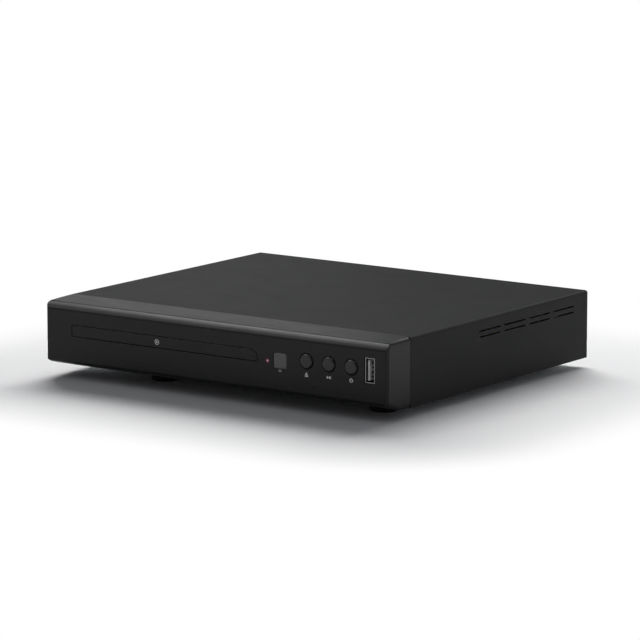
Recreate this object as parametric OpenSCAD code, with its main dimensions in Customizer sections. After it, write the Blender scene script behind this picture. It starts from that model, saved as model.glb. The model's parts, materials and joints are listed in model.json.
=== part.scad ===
// Compact disc player with a motor-driven tray.
// +Z is up and +X is to the right of someone facing the front, which looks along -Y.
// The origin is on the ground, under the middle of the whole player.
// Places inside the modules count from the front face (y) and the underside of the floor (z).

/* [Case] */
// Width of the case
case_w = 226; // [223:1:260]
// Depth of the case from its front face to its rear edge
case_d = 196; // [195:1:240]
// Height of the case without its feet
case_h = 38; // [36:0.5:50]
// Thickness of the sheet steel
sheet = 0.8; // [0.6:0.1:1]
// Clearance where two case pieces meet
seam = 0.2; // [0.1:0.05:0.3]
// Bend radius of the cover's long top edges
cover_bend = 1.5; // [1.2:0.1:3]
// Height of the cover's lower edge over the floor's underside
cover_lift = 0; // [0:0.1:2]
// Width of the lip that the cover folds over the rear panel
cover_lip = 6; // [4:0.5:7]
// Depth to which the stiffening panel is pressed down from the floor
press_depth = 0.9; // [0.5:0.1:1.5]
// Height of the upright flanges of the chassis
flange_h = 3; // [2:0.5:3.5]

/* [Feet] */
// Height of the floor's underside over the ground
foot_h = 5; // [4:0.5:8]
// Diameter of a foot
foot_d = 15; // [12:0.5:18]
// Distance of the front feet behind the front face
foot_front = 30; // [29:1:40]
// Distance of the rear feet ahead of the rear edge
foot_rear = 26; // [24:1:40]
// Distance of the left front foot from the left side
foot_inset_left = 58.5; // [50:0.5:70]
// Distance of the right feet from the right side
foot_inset = 22.5; // [22:0.5:32]
// Distance of the left rear foot from the left side
foot_inset_rear = 33.5; // [31:0.5:40]

/* [Vents] */
// Length of a slot in the cover's sides
slot_len = 20.5; // [15:0.5:23]
// Height of a slot
slot_h = 0.8; // [0.8:0.1:2]
// Distance from the start of one slot to the next
slot_pitch = 24.7; // [24:0.1:26]
// Number of slots in a row
slot_count = 4; // [1:1:4]
// Distance of the first slot behind the front face
slot_start = 87; // [60:0.2:90]
// Depth of the upper row below the top
slot_top = 7.2; // [4:0.1:12]
// Distance between the two rows
slot_rows_gap = 3.2; // [2.5:0.1:6]

/* [Bezel] */
// Depth of the front bezel
bezel_d = 21.4; // [20.4:0.2:23]
// Wall of the bezel
bezel_wall = 2.2; // [1.8:0.1:2.4]
// Radius of the long edge between front and top
top_round = 4.5; // [3:0.5:5]
// How far the top falls towards the front
top_droop = 1.2; // [0:0.1:2]
// How far the underside rises towards the front
under_sweep = 4.1; // [2:0.1:5]
// Radius of the lower lip
lip_round = 2; // [1:0.2:2.4]
// Radius of the bezel's edges that run from front to back
side_round = 2.6; // [2:0.1:3.5]
// Radius of the bezel's upright corners
post_round = 1.2; // [0.8:0.1:2.5]

/* [Tray] */
// Diameter of the disc that the tray takes
disc_d = 120; // [118:1:122]
// Diameter of the small disc's seat
small_seat_d = 81; // [60:1:90]
// Radial room around the disc
disc_room = 0.4; // [0.3:0.1:0.8]
// Rim beside the disc's seat
tray_rim = 1.7; // [1.2:0.1:2.4]
// Length of the tray behind its door
tray_len = 162; // [156:1:166]
// Depth of the disc's seat below the tray's top
seat_depth = 1.8; // [1.2:0.1:2]
// Further depth of the small disc's seat
small_seat_step = 0.8; // [0.4:0.1:1]
// Width of the open slot in the tray over the pickup
window_w = 42; // [38:1:48]
// Height of the door
door_h = 6; // [6:0.1:7]
// Height of the door's lower edge over the floor's underside
door_z = 19.2; // [18.8:0.1:20]
// Thickness of the door
door_t = 3; // [2.4:0.1:3.4]
// How far the door stands out past each side of the tray
door_over = 0.5; // [0.5:0.05:0.8]
// Distance of the door's left end from the left side of the case
door_inset = 18; // [16.5:0.1:19]
// Gap around the door
door_gap = 0.35; // [0.3:0.05:0.6]
// Radius of the door's upper right corner
door_round = 4.6; // [3:0.2:5.5]
// Radius of the door's other corners
door_corner = 1.2; // [0.5:0.1:1.5]

/* [Controls] */
// Diameter of a button
button_d = 8; // [6:0.2:9]
// How far a button stands out of the front face
button_proud = 1; // [0.6:0.1:1.6]
// Distance from one button to the next
button_pitch = 14.25; // [13.5:0.25:14.5]
// Distance of the last button from the right side
button_inset = 22.4; // [21:0.2:23]
// Height of the buttons over the floor's underside
button_z = 22.6; // [21:0.2:23]
// Gap around a button
button_gap = 0.45; // [0.3:0.05:0.6]
// Travel of a button
button_travel = 0.7; // [0.4:0.1:0.8]
// Width of the remote control's window
window_ir_w = 8.2; // [7:0.1:9]
// Height of the remote control's window
window_ir_h = 8.3; // [7:0.1:10]
// Distance of that window's middle from the right side
window_ir_inset = 68; // [67:0.2:69]
// Height of that window's middle
window_ir_z = 20.9; // [19:0.1:23]
// Diameter of the lamp's lens
lamp_d = 1.9; // [1.5:0.1:2.4]
// Distance of the lamp from the right side
lamp_inset = 76.2; // [75.6:0.1:77]
// Height of the lamp
lamp_z = 20.2; // [18:0.1:24]
// Width of the serial socket's metal shell
usb_w = 5.9; // [5.5:0.1:6.5]
// Height of the serial socket's metal shell
usb_h = 13.3; // [13:0.1:14.5]
// Distance of the socket's middle from the right side
usb_inset = 10.75; // [10.4:0.05:11]
// Height of the socket's middle
usb_z = 22.05; // [20:0.05:24]
// Thickness of the socket's shell
usb_wall = 0.4; // [0.3:0.05:0.5]

/* [Gears] */
// Tooth size of the tray's gears
tray_module = 0.8; // [0.8:0.8]
// Teeth of rack that pass while the tray opens
travel_teeth = 50; // [40:1:50]
// Teeth of the wheel that drives the rack
rack_wheel_teeth = 20; // [20:1:20]
// Teeth of the big wheel below it
big_wheel_teeth = 40; // [40:1:40]
// Teeth of the belt pulley's pinion
pinion_teeth = 12; // [12:1:12]
// Working radius of the motor's pulley
motor_pulley_r = 4; // [3.6:0.1:4.4]
// Working radius of the big pulley
big_pulley_r = 12; // [10:0.5:13]
// Thickness of the belt
belt_t = 1.2; // [0.8:0.1:1.4]
// Tooth size of the pickup's gears
sled_module = 0.5; // [0.5:0.5]
// Teeth of rack that pass while the pickup travels
sled_teeth = 22; // [18:1:22]

/* [Loader] */
// Clearance of sliding faces
slide_gap = 0.15; // [0.1:0.05:0.2]
// Radial clearance of a running fit
run_gap = 0.05; // [0.03:0.01:0.08]
// Wall of the loader's plastic frame
frame_wall = 2; // [1.6:0.1:2.4]
// Angle by which the drive unit can be let down
drop_angle = 5.2; // [4:0.1:5.2]
// Travel of the slider that lets it down
cam_travel = 18; // [14:0.5:20]
// Diameter of the turntable
turntable_d = 33; // [30:0.5:34]
// Diameter of the clamp's upper flange
clamp_d = 30; // [28:0.5:34]
// Diameter of the guide rods
rod_d = 3; // [2:0.1:3.2]

/* [Boards] */
// Height of the boards' underside over the floor's underside
board_z = 6; // [5:0.5:7]
// Thickness of the boards
board_t = 1.6; // [1.2:0.2:2]
// Gap between the loader and the right-hand boards
board_gap = 5; // [4:0.5:8]
// Gap between those boards and the case's right side
board_side_gap = 3.7; // [3.5:0.1:6]
// Length of the main board
main_len = 68; // [66:1:70]

/* [Sockets] */
// Outer diameter of a phono socket
phono_d = 8.3; // [8:0.1:8.6]
// How far a phono socket stands out of the case
phono_reach = 9; // [7:0.5:10]
// Distance from one phono socket to the next
phono_pitch = 14; // [13.5:0.5:15]
// Height of the sockets' axes over the floor's underside
phono_z = 15.5; // [15:0.5:17]
// Distance of the mains inlet's middle from the right side
inlet_inset = 22; // [20:1:26]
// Diameter of a mains pin
inlet_pin_d = 2.4; // [2.2:0.1:2.6]
// Distance between the mains pins
inlet_pin_pitch = 8.6; // [8.4:0.1:9]

/* [Hidden] */
$fn = 48;
// Reach of a cut past the face that it opens
cut = 1;

// The case
front_y = -(case_d + phono_reach - button_proud) / 2;
inner_w = case_w - 2 * (sheet + seam);
cover_start = bezel_d + seam;
cover_top = case_h - seam;
panel_y = case_d - 2 * sheet - seam;
floor_end = panel_y - seam;

// The tray and the heights that follow it
seat_d = disc_d + 2 * disc_room;
tray_w = seat_d + 2 * tray_rim;
door_w = tray_w + 2 * door_over;
loader_x = -case_w / 2 + door_inset + door_w / 2;
tray_inset = 0.3;
tray_bottom = door_z + tray_inset;
tray_top = door_z + door_h - tray_inset;
rack_room = 2;
tray_plate = tray_bottom + rack_room;
tray_travel = travel_teeth * PI * tray_module;
front_rim = 4.5;
disc_y = door_t + front_rim + seat_d / 2;

// The drive unit, whose places count from the disc's axis
table_z = tray_top - 0.8;
cone_top = tray_top + 0.7;
unit_z = table_z - 13.2;
unit_t = 2.5;
unit_half = 38;
unit_front = -19;
unit_back = 76;
hinge_y = 78;
hinge_z = unit_z + unit_t / 2;
hinge_pin_r = 1.5;
hinge_reach = 8;
bearing_gap = 1;
bearing_w = 5;
cam_pin_r = 1.2;
cam_pin_x = 20;
cam_t = 2;
cam_back = unit_front - 2.5;
cam_front = cam_back - cam_t;
cam_drop = (hinge_y - cam_back + cam_t / 2) * sin(drop_angle);
cam_slot_r = cam_pin_r + 0.35;
rod_x = 20;
rod_z = unit_z + 4.5;
rod_start = 10;
rod_end = 75;
rotor_r = 12.5;
rotor_top = table_z - 5.2;
rotor_bottom = unit_z + unit_t + 1.3;
shaft_r = 1;
sled_half_w = 24;
sled_half_l = 10.5;
sled_home = 24;
sled_top = rotor_top - 0.4;
sled_bottom = unit_z - 1;
sled_travel = sled_teeth * PI * sled_module;
optic_top = sled_top + 3.2;
lens_well_r = 5.4;
sled_rack_z = unit_z + unit_t + 0.3;
sled_rack_t = 1.8;
sled_rack_half = 20.5;
sled_wheel_teeth = 12;
sled_big_teeth = 36;
sled_pinion_teeth = 12;
sled_rack_x = 33;
sled_wheel_x = sled_rack_x + sled_wheel_teeth * sled_module / 2;
sled_wheel_y = sled_home + sled_travel / 2;
sled_big_z = sled_rack_z + sled_rack_t + 0.3;
sled_motor_y = sled_wheel_y + (sled_big_teeth + sled_pinion_teeth) * sled_module / 2;
sled_motor_r = 5.5;

// The loader's frame and the tray's gears, whose places count from the tray's middle
frame_half = tray_w / 2 + slide_gap + 0.25 + frame_wall;
frame_start = 8;
frame_end = case_d - 18;
deck_z = 4;
deck_t = 1.5;
deck_top = deck_z + deck_t;
deck_end = disc_y + cam_front - 0.4;
wall_top = tray_top + 2;
ledge_w = 2.2;
tab_w = 1.4;
tab_right_x = frame_half - frame_wall - tab_w - door_w / 2 + door_round;
tab_right_z = door_z + door_h - door_round + slide_gap + sqrt(pow(door_round - tray_inset, 2) - pow(tab_right_x, 2));
ear_len = 7;
ear_w = 10;
ear_t = 2;
flange_in = 20;
rack_x = -50;
rack_wheel_r = rack_wheel_teeth * tray_module / 2;
big_wheel_r = big_wheel_teeth * tray_module / 2;
pinion_r = pinion_teeth * tray_module / 2;
drive_x = rack_x + rack_wheel_r;
drive_y = 26;
belt_x = drive_x + big_wheel_r + pinion_r;
motor_x = belt_x + 30;
motor_r = 11;
gear_pin_r = 1.5;
big_wheel_z = tray_bottom - 6.4;
big_wheel_t = 2.5;
pulley_z = tray_bottom - 2.8;
pulley_t = 2.2;
motor_top = tray_bottom - 3.9;
bridge_z = wall_top;
bridge_half = 14;
clamp_hub_r = clamp_d / 2 - 4;
ear_ys = [30, frame_end - 24];

// Boards, whose places count from the left end of each
right_board_x = loader_x + frame_half + ear_len + board_gap;
board_w = case_w / 2 - sheet - board_side_gap - right_board_x;
main_y = 28;
power_y = main_y + main_len + 7;
power_len = floor_end - 4 - power_y;
jack_y = frame_end + 1;
jack_len = floor_end - 1 - jack_y;
jack_x = -case_w / 2 + 9;
jack_w = 136;
board_top = board_z + board_t;
post_r = 2.6;
board_hole_r = 1.35;
board_edge = 4;

// Places of the controls, from the middle of the case
power_x = case_w / 2 - button_inset;
button_xs = [power_x - 2 * button_pitch, power_x - button_pitch, power_x];
window_ir_x = case_w / 2 - window_ir_inset;
lamp_x = case_w / 2 - lamp_inset;
usb_x = case_w / 2 - usb_inset;
front_board_y = bezel_wall + 9.6;
front_board_x = lamp_x - 3;
front_board_w = case_w / 2 - bezel_wall - 1.5 - front_board_x;
front_board_z = 7;
front_board_h = 24;
front_post_xs = [window_ir_x + 8, usb_x - 7];
front_post_z = front_board_z + 4;
button_flange = 1;
switch_h = 3.6;
plunger_h = 1.2;
usb_depth = front_board_y - 0.4;
tongue_t = 1.4;
tongue_gap = 0.85;

// Sockets at the rear
phono_xs = [for (i = [0:3]) jack_x + 12 + i * phono_pitch];
hdmi_x = phono_xs[3] + 20;
hdmi_w = 14.5;
hdmi_h = 5.2;
inlet_x = case_w / 2 - inlet_inset;
inlet_z = board_top + 7.5;
inlet_r = 4.1;

// Screws: shank, head and length
screw_r = 1.25;
head_r = 2.4;
head_h = 1.5;

function arc(cx, cy, r, from, to, steps) =
  [for (i = [0:steps]) [cx + r * cos(from + (to - from) * i / steps),
                        cy + r * sin(from + (to - from) * i / steps)]];

module at_case() translate([0, front_y, base_z()]) children();
module at_loader() translate([loader_x, front_y, base_z()]) children();
module at_disc() translate([loader_x, front_y + disc_y, base_z()]) children();
function base_z() = foot_h;

// A rectangle with four round corners, its lower left corner at the origin
module round_rect(w, h, r) {
  translate([r, 0]) square([w - 2 * r, h]);
  translate([0, r]) square([w, h - 2 * r]);
  for (x = [r, w - r])
    for (y = [r, h - r])
      translate([x, y]) circle(r);
}

// A bar along y with a rectangular section that has round corners
module round_bar(w, d, h, r) rotate([90, 0, 0]) mirror([0, 0, 1]) linear_extrude(d) round_rect(w, h, r);

// A pan-head screw that points down, its head's seat at z = 0
module screw(len) {
  difference() {
    cylinder(r = head_r, h = head_h);
    for (turn = [0, 90])
      rotate(turn) translate([-1.3, -0.3, head_h - 0.7]) cube([2.6, 0.6, cut]);
  }
  translate([0, 0, -len]) cylinder(r = screw_r, h = len + 0.1);
}

// The bezel's section in depth and height, with every face moved inwards by d
function slope() = atan(top_droop / (bezel_d - 2));
function top_line(y) = case_h - (bezel_d - y) * tan(slope());
function top_centre() = top_line(top_round) - top_round / cos(slope());
function under_angle() = atan(2 * under_sweep / bezel_d);
function lip_centre() = under_sweep + lip_round / cos(under_angle()) - lip_round * tan(under_angle());
function under_line(y) = under_sweep * pow(1 - y / bezel_d, 2);
function bezel_section(d, back) = concat(
  [[back, d], [back, case_h - d / cos(slope())]],
  arc(top_round, top_centre(), top_round - d, 90 + slope(), 180, 14),
  arc(lip_round, lip_centre(), max(lip_round - d, 0.2), 180, 270 - under_angle(), 8),
  [for (i = [1:7]) [i * bezel_d / 8 + 0.4, under_line(i * bezel_d / 8 + 0.4) + d]],
  [[bezel_d, d]]);

module bezel_body(d, back, side) {
  translate([-case_w / 2 + side, 0, 0]) rotate([90, 0, 90])
    linear_extrude(case_w - 2 * side) polygon(bezel_section(d, back));
}

module door_outline(grow) {
  w = door_w + 2 * grow;
  h = door_h + 2 * grow;
  r = door_round + grow;
  c = door_corner + grow;
  polygon(concat(
    arc(w / 2 - r, h - r, r, 0, 90, 8),
    arc(-w / 2 + c, h - c, c, 90, 180, 4),
    arc(-w / 2 + c, c, c, 180, 270, 4),
    arc(w / 2 - c, c, c, 270, 360, 4)));
}

module door_prism(grow, from, to) {
  translate([loader_x, to, door_z - grow]) rotate([90, 0, 0]) linear_extrude(to - from) door_outline(grow);
}

// Slots that let a panel breathe: a row of n upright cuts through y
module upright_slots(n, pitch, w, h, depth) {
  for (i = [0:n - 1])
    translate([i * pitch, 0, 0]) cube([w, depth, h]);
}

module cover_slots(side) {
  for (i = [0:slot_count - 1])
    for (row = [0, 1])
      translate([side > 0 ? case_w / 2 - 2 * sheet : -case_w / 2 - cut,
                 slot_start + i * slot_pitch,
                 case_h - slot_top - row * slot_rows_gap - slot_h / 2])
        cube([2 * sheet + cut, slot_len, slot_h]);
}

module cover_section(d) {
  w = case_w - 2 * d;
  r = max(cover_bend - d, 0.3);
  translate([-w / 2, cover_lift - (d > 0 ? cut : 0)])
    square([w, cover_top - d - r - cover_lift + (d > 0 ? cut : 0)]);
  translate([-w / 2 + r, cover_top - d - 2 * r]) square([w - 2 * r, 2 * r]);
  for (x = [-w / 2 + r, w / 2 - r])
    translate([x, cover_top - d - r]) circle(r);
}

cover_screw_xs = [-case_w / 2 + 20, 0, case_w / 2 - 20];
cover_screw_z = cover_top - cover_lip / 2 - 0.4;
panel_screw_xs = [-case_w / 2 + 24, -10, case_w / 2 - 24];

module top_cover() {
  color("#2b2c2f") at_case() difference() {
    translate([0, case_d, 0]) rotate([90, 0, 0])
      linear_extrude(case_d - cover_start) cover_section(0);
    translate([0, case_d - sheet, 0]) rotate([90, 0, 0])
      linear_extrude(case_d) cover_section(sheet);
    translate([-case_w / 2 + cover_lip, case_d - sheet - cut, -cut])
      cube([case_w - 2 * cover_lip, sheet + 2 * cut, cover_top - cover_lip + cut]);
    for (side = [-1, 1])
      cover_slots(side);
    for (x = cover_screw_xs)
      translate([x, case_d + cut, cover_screw_z]) rotate([90, 0, 0])
        cylinder(r = screw_r + 0.15, h = sheet + 2 * cut);
  }
}

press_x = [-case_w / 2 + 22, case_w / 2 - 12];
press_y = [bezel_d + 2.6, floor_end - 15];
feet_places = [
  [-case_w / 2 + foot_inset_left, foot_front],
  [case_w / 2 - foot_inset, foot_front],
  [-case_w / 2 + foot_inset_rear, case_d - foot_rear],
  [case_w / 2 - foot_inset, case_d - foot_rear]];
foot_stem_r = 2.4;
loader_posts = [for (side = [-1, 1]) for (y = ear_ys)
  [loader_x + side * (frame_half + ear_len / 2), y + ear_w / 2]];
main_posts = [for (x = [board_edge, board_w - board_edge]) for (y = [board_edge, main_len - board_edge])
  [right_board_x + x, main_y + y]];
power_posts = [for (x = [board_edge, board_w - board_edge]) for (y = [board_edge, power_len - board_edge - 5])
  [right_board_x + x, power_y + y]];
jack_posts = [for (x = [board_edge, jack_w - board_edge]) [jack_x + x, jack_y + board_edge]];
board_posts = concat(main_posts, power_posts, jack_posts);

module chassis_post(place, top) {
  translate([place[0], place[1], sheet - 0.1 - press_depth]) cylinder(r = post_r, h = top - sheet + 0.1 + press_depth);
}

module bottom_chassis() {
  color("#8f9294") at_case() difference() {
    union() {
      difference() {
        union() {
          translate([-inner_w / 2, cover_start, 0]) cube([inner_w, floor_end - cover_start, sheet]);
          translate([press_x[0], press_y[0], -press_depth])
            cube([press_x[1] - press_x[0], press_y[1] - press_y[0], press_depth + 0.1]);
        }
        translate([press_x[0] + sheet, press_y[0] + sheet, sheet - press_depth])
          cube([press_x[1] - press_x[0] - 2 * sheet, press_y[1] - press_y[0] - 2 * sheet, press_depth + cut]);
      }
      for (x = [-inner_w / 2, inner_w / 2 - sheet])
        translate([x, cover_start, 0]) cube([sheet, floor_end - cover_start, flange_h + 4]);
      translate([-inner_w / 2, cover_start, 0]) cube([inner_w, sheet, flange_h]);
      for (place = board_posts)
        chassis_post(place, board_z);
      for (place = loader_posts)
        chassis_post(place, deck_z);
    }
    for (place = feet_places)
      translate([place[0], place[1], -press_depth - cut]) cylinder(r = foot_stem_r + 0.1, h = press_depth + sheet + 2 * cut);
    for (place = concat(board_posts, loader_posts))
      translate([place[0], place[1], sheet]) cylinder(r = screw_r + 0.1, h = board_z + cut);
    for (x = panel_screw_xs)
      translate([x, floor_end - 5, -cut]) cylinder(r = screw_r + 0.15, h = sheet + 2 * cut);
    for (row = [0:2])
      for (i = [0:8])
        translate([right_board_x + 10 + i * 5, power_y + 14 + row * 20, -press_depth - cut])
          cube([2, 12, press_depth + sheet + 2 * cut]);
  }
}

module phono_hole(x, r) translate([x, panel_y - cut, phono_z]) rotate([-90, 0, 0]) cylinder(r = r, h = sheet + 2 * cut);

phono_collar_r = 5.2;
panel_flange = 8;

module rear_panel() {
  color("#2b2c2f") at_case() difference() {
    union() {
      translate([-inner_w / 2, panel_y, 0]) cube([inner_w, sheet, cover_top - sheet - seam]);
      translate([-inner_w / 2 + 2, panel_y - panel_flange, sheet]) cube([inner_w - 4, panel_flange + 0.1, sheet]);
    }
    for (x = phono_xs)
      phono_hole(x, phono_collar_r + 0.3);
    translate([hdmi_x - hdmi_w / 2 - 0.4, panel_y - cut, board_top + 0.6])
      cube([hdmi_w + 0.8, sheet + 2 * cut, hdmi_h + 0.8]);
    translate([inlet_x - inlet_half_w() - 0.3, panel_y - cut, inlet_z - inlet_half_h() - 0.3])
      cube([2 * inlet_half_w() + 0.6, sheet + 2 * cut, 2 * inlet_half_h() + 0.6]);
    translate([hdmi_x + 16, panel_y - cut, 12]) upright_slots(12, 4, 1.6, 14, sheet + 2 * cut);
    for (x = cover_screw_xs)
      translate([x, case_d + cut, cover_screw_z]) rotate([90, 0, 0])
        cylinder(r = screw_r + 0.05, h = 4 * sheet + 2 * cut);
    for (x = panel_screw_xs)
      translate([x, floor_end - 5, 0]) cylinder(r = screw_r + 0.05, h = 2 * sheet + cut);
  }
}

module front_bezel() {
  color("#232427") at_case() difference() {
    union() {
      intersection() {
        difference() {
          bezel_body(0, bezel_d, 0);
          bezel_body(bezel_wall, bezel_d + cut, bezel_wall);
          translate([-case_w / 2 + bezel_wall, bezel_d - 3, bezel_wall])
            cube([case_w - 2 * bezel_wall, 3 + cut, case_h / 2]);
        }
        translate([-case_w / 2, 0, 0]) round_bar(case_w, bezel_d, case_h, side_round);
        // Rounds the lower side edges where the underside rises
        translate([-case_w / 2, 0, under_sweep - 0.1]) rotate([-under_angle(), 0, 0]) translate([0, -case_h, 0])
          round_bar(case_w, case_h + 2 * bezel_d, 2 * case_h, side_round);
        translate([-case_w / 2, 0, 0]) linear_extrude(case_h) {
          translate([post_round, 0]) square([case_w - 2 * post_round, bezel_d]);
          translate([0, post_round]) square([case_w, bezel_d - post_round]);
          for (x = [post_round, case_w - post_round])
            translate([x, post_round]) circle(post_round);
        }
      }
      // Ledge under the cover's front edge
      translate([-case_w / 2 + 12, bezel_d - 3, cover_top - sheet - seam - 1.4])
        cube([case_w - 24, 6, 1.4]);
      for (x = [-case_w / 2 + 12, -10, case_w / 2 - 32])
        translate([x, bezel_d - 3, cover_top - sheet - seam - 1.4]) cube([20, 2.8, 1.9]);
      // Hooks over the chassis floor
      for (x = [-case_w / 2 + 8, -40, 24, case_w / 2 - 20])
        translate([x, bezel_d - 5, 0.9]) cube([10, 5 + 0.05, 1.6]);
      // Posts for the front board
      for (x = front_post_xs)
        translate([x, bezel_wall - 0.2, front_post_z]) rotate([-90, 0, 0])
          cylinder(r = 2.4, h = front_board_y - bezel_wall + 0.2);
      // Sleeves that guide the buttons
      for (x = button_xs)
        translate([x, bezel_wall - 0.2, button_z]) rotate([-90, 0, 0])
          cylinder(r = button_d / 2 + 2.6, h = 2.4);
    }
    door_prism(door_gap, -cut, bezel_wall + cut);
    for (x = button_xs) {
      translate([x, -cut, button_z]) rotate([-90, 0, 0])
        cylinder(r = button_d / 2 + button_gap, h = bezel_wall + 2 * cut + 2);
      translate([x, bezel_wall - 0.4, button_z]) rotate([-90, 0, 0])
        cylinder(r = button_d / 2 + 1.5, h = 5);
    }
    translate([lamp_x, -cut, lamp_z]) rotate([-90, 0, 0]) cylinder(r = lamp_d / 2 + 0.1, h = bezel_wall + 2 * cut);
    translate([window_ir_x - window_ir_w / 2 - 0.1, -cut, window_ir_z - window_ir_h / 2 - 0.1])
      round_bar(window_ir_w + 0.2, bezel_wall + 2 * cut, window_ir_h + 0.2, 1.3);
    translate([usb_x - usb_w / 2 - 0.35, -cut, usb_z - usb_h / 2 - 0.35])
      cube([usb_w + 0.7, bezel_wall + 2 * cut, usb_h + 0.7]);
    for (x = front_post_xs)
      translate([x, bezel_wall + 1.5, front_post_z]) rotate([-90, 0, 0])
        cylinder(r = screw_r + 0.1, h = front_board_y);
  }
}

module ir_window() {
  color("#3a3b3e") at_case() {
    translate([window_ir_x - window_ir_w / 2, 0.1, window_ir_z - window_ir_h / 2])
      round_bar(window_ir_w, bezel_wall, window_ir_h, 1.2);
    translate([window_ir_x - window_ir_w / 2 - 1, bezel_wall + 0.05, window_ir_z - window_ir_h / 2 - 1])
      round_bar(window_ir_w + 2, 0.9, window_ir_h + 2, 1.6);
  }
}

module led_lens() {
  color("#e0182c") at_case() translate([lamp_x, 0, lamp_z]) rotate([-90, 0, 0]) {
    translate([0, 0, 0.1]) cylinder(r = lamp_d / 2, h = bezel_wall);
    translate([0, 0, bezel_wall + 0.05]) cylinder(r = lamp_d / 2 + 0.8, h = front_board_y - bezel_wall - 0.1);
  }
}

module rubber_feet() {
  color("#151516") translate([0, front_y, 0])
    for (place = feet_places)
      translate([place[0], place[1], 0]) {
        difference() {
          union() {
            cylinder(r1 = foot_d / 2 - 0.6, r2 = foot_d / 2 - 0.1, h = 1);
            translate([0, 0, 1]) cylinder(r = foot_d / 2, h = foot_h - press_depth - 1);
          }
          translate([0, 0, -cut]) cylinder(r = foot_d / 2 - 3.5, h = cut + 0.6);
        }
        translate([0, 0, foot_h - press_depth - 0.1]) cylinder(r = foot_stem_r, h = sheet + 0.2);
        translate([0, 0, foot_h - press_depth + sheet + 0.05])
          cylinder(r1 = foot_stem_r + 0.6, r2 = foot_stem_r - 0.8, h = 1.6);
      }
}

module case_screws() {
  color("#1d1d1f") at_case() {
    for (x = cover_screw_xs)
      translate([x, case_d + 0.02, cover_screw_z]) rotate([-90, 0, 0]) screw(5);
    for (x = panel_screw_xs)
      translate([x, floor_end - 5, -0.02]) rotate([180, 0, 0]) screw(4);
  }
}

// A round button with a flange behind the front wall and a stem that meets its switch
module button(x) {
  stem_end = front_board_y - switch_h - plunger_h - button_travel - 0.1;
  color("#2c2d30") at_case() translate([x, 0, button_z]) rotate([-90, 0, 0]) {
    translate([0, 0, -button_proud]) cylinder(r1 = button_d / 2 - 0.5, r2 = button_d / 2, h = 0.5);
    translate([0, 0, 0.5 - button_proud]) cylinder(r = button_d / 2, h = bezel_wall + button_proud - 0.5);
    translate([0, 0, bezel_wall]) cylinder(r = button_d / 2 + 1, h = button_flange);
    translate([0, 0, bezel_wall + 0.5]) cylinder(r = 1.8, h = stem_end - bezel_wall - 0.5);
  }
}

module eject_button() button(button_xs[0]);
module play_button() button(button_xs[1]);
module power_button() button(button_xs[2]);

module front_board() {
  color("#1f6b3a") at_case() difference() {
    translate([front_board_x, front_board_y, front_board_z]) cube([front_board_w, board_t, front_board_h]);
    for (x = front_post_xs)
      translate([x, front_board_y - cut, front_post_z]) rotate([-90, 0, 0])
        cylinder(r = board_hole_r, h = board_t + 2 * cut);
  }
}

module tact_switches() {
  color("#161617") at_case()
    for (x = button_xs) {
      translate([x - 3, front_board_y - switch_h, button_z - 3]) cube([6, switch_h, 6]);
      translate([x, front_board_y - switch_h - plunger_h, button_z]) rotate([-90, 0, 0])
        cylinder(r = 1.7, h = plunger_h + 0.2);
    }
}

module ir_receiver() {
  color("#101012") at_case() translate([window_ir_x, front_board_y, window_ir_z]) {
    translate([-3, -3.6, -3.4]) cube([6, 3.6, 6.8]);
    translate([0, -3.6, -2]) cylinder(r = 2.2, h = 4);
  }
}

module usb_shell() {
  color("#c9ccd0") at_case() translate([usb_x, 0.3, usb_z]) {
    difference() {
      translate([-usb_w / 2, 0, -usb_h / 2]) cube([usb_w, usb_depth - 0.3, usb_h]);
      translate([-usb_w / 2 + usb_wall, -cut, -usb_h / 2 + usb_wall])
        cube([usb_w - 2 * usb_wall, usb_depth - 2 + cut, usb_h - 2 * usb_wall]);
    }
    for (z = [-usb_h / 2 - 2.2, usb_h / 2 - 0.1])
      translate([-1.5, usb_depth - 3, z]) cube([3, 3.1 - 0.4, 2.3]);
  }
}

module usb_tongue() {
  color("#d9dadb") at_case() translate([usb_x - usb_w / 2 + usb_wall + tongue_gap, 0.9, usb_z - usb_h / 2 + 1.2])
    cube([tongue_t, usb_depth - 2.6, usb_h - 2.4]);
}

module usb_contacts() {
  color("#d8b45a") at_case()
    for (i = [0:3])
      translate([usb_x - usb_w / 2 + usb_wall + tongue_gap + tongue_t, 1.6, usb_z - 4.1 + i * 2.4])
        cube([0.25, usb_depth - 3.6, 1]);
}

module pcb(x, y, w, l, places) {
  difference() {
    translate([x, y, board_z]) cube([w, l, board_t]);
    for (place = places)
      translate([place[0], place[1], board_z - cut]) cylinder(r = board_hole_r, h = board_t + 2 * cut);
  }
}

module main_board() color("#1f6b3a") at_case() pcb(right_board_x, main_y, board_w, main_len, main_posts);
module power_board() color("#b58a4e") at_case() pcb(right_board_x, power_y, board_w, power_len, power_posts);
module jack_board() color("#1f6b3a") at_case() pcb(jack_x, jack_y, jack_w, jack_len, jack_posts);

module on_main(x, y) translate([right_board_x + x, main_y + y, board_top]) children();
// A place on the power board, its second value a share of the board's length
module on_power(x, part) translate([right_board_x + x, power_y + part * power_len, board_top]) children();
module on_jack(x, y) translate([jack_x + x, jack_y + y, board_top]) children();

module board_chips() {
  color("#1a1b1d") at_case() {
    on_main(20, 22) cube([20, 20, 1.6]);
    on_main(46, 24) cube([12, 16, 1.2]);
    on_main(22, 48) cube([14, 9, 2]);
    on_main(44, 46) cube([8, 6, 1.6]);
    on_main(8, 28) cube([8, 5, 1.6]);
    on_power(34, 0.46) cube([8, 6, 3.4]);
    on_jack(104, 4) cube([6, 5, 1.5]);
  }
}

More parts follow.
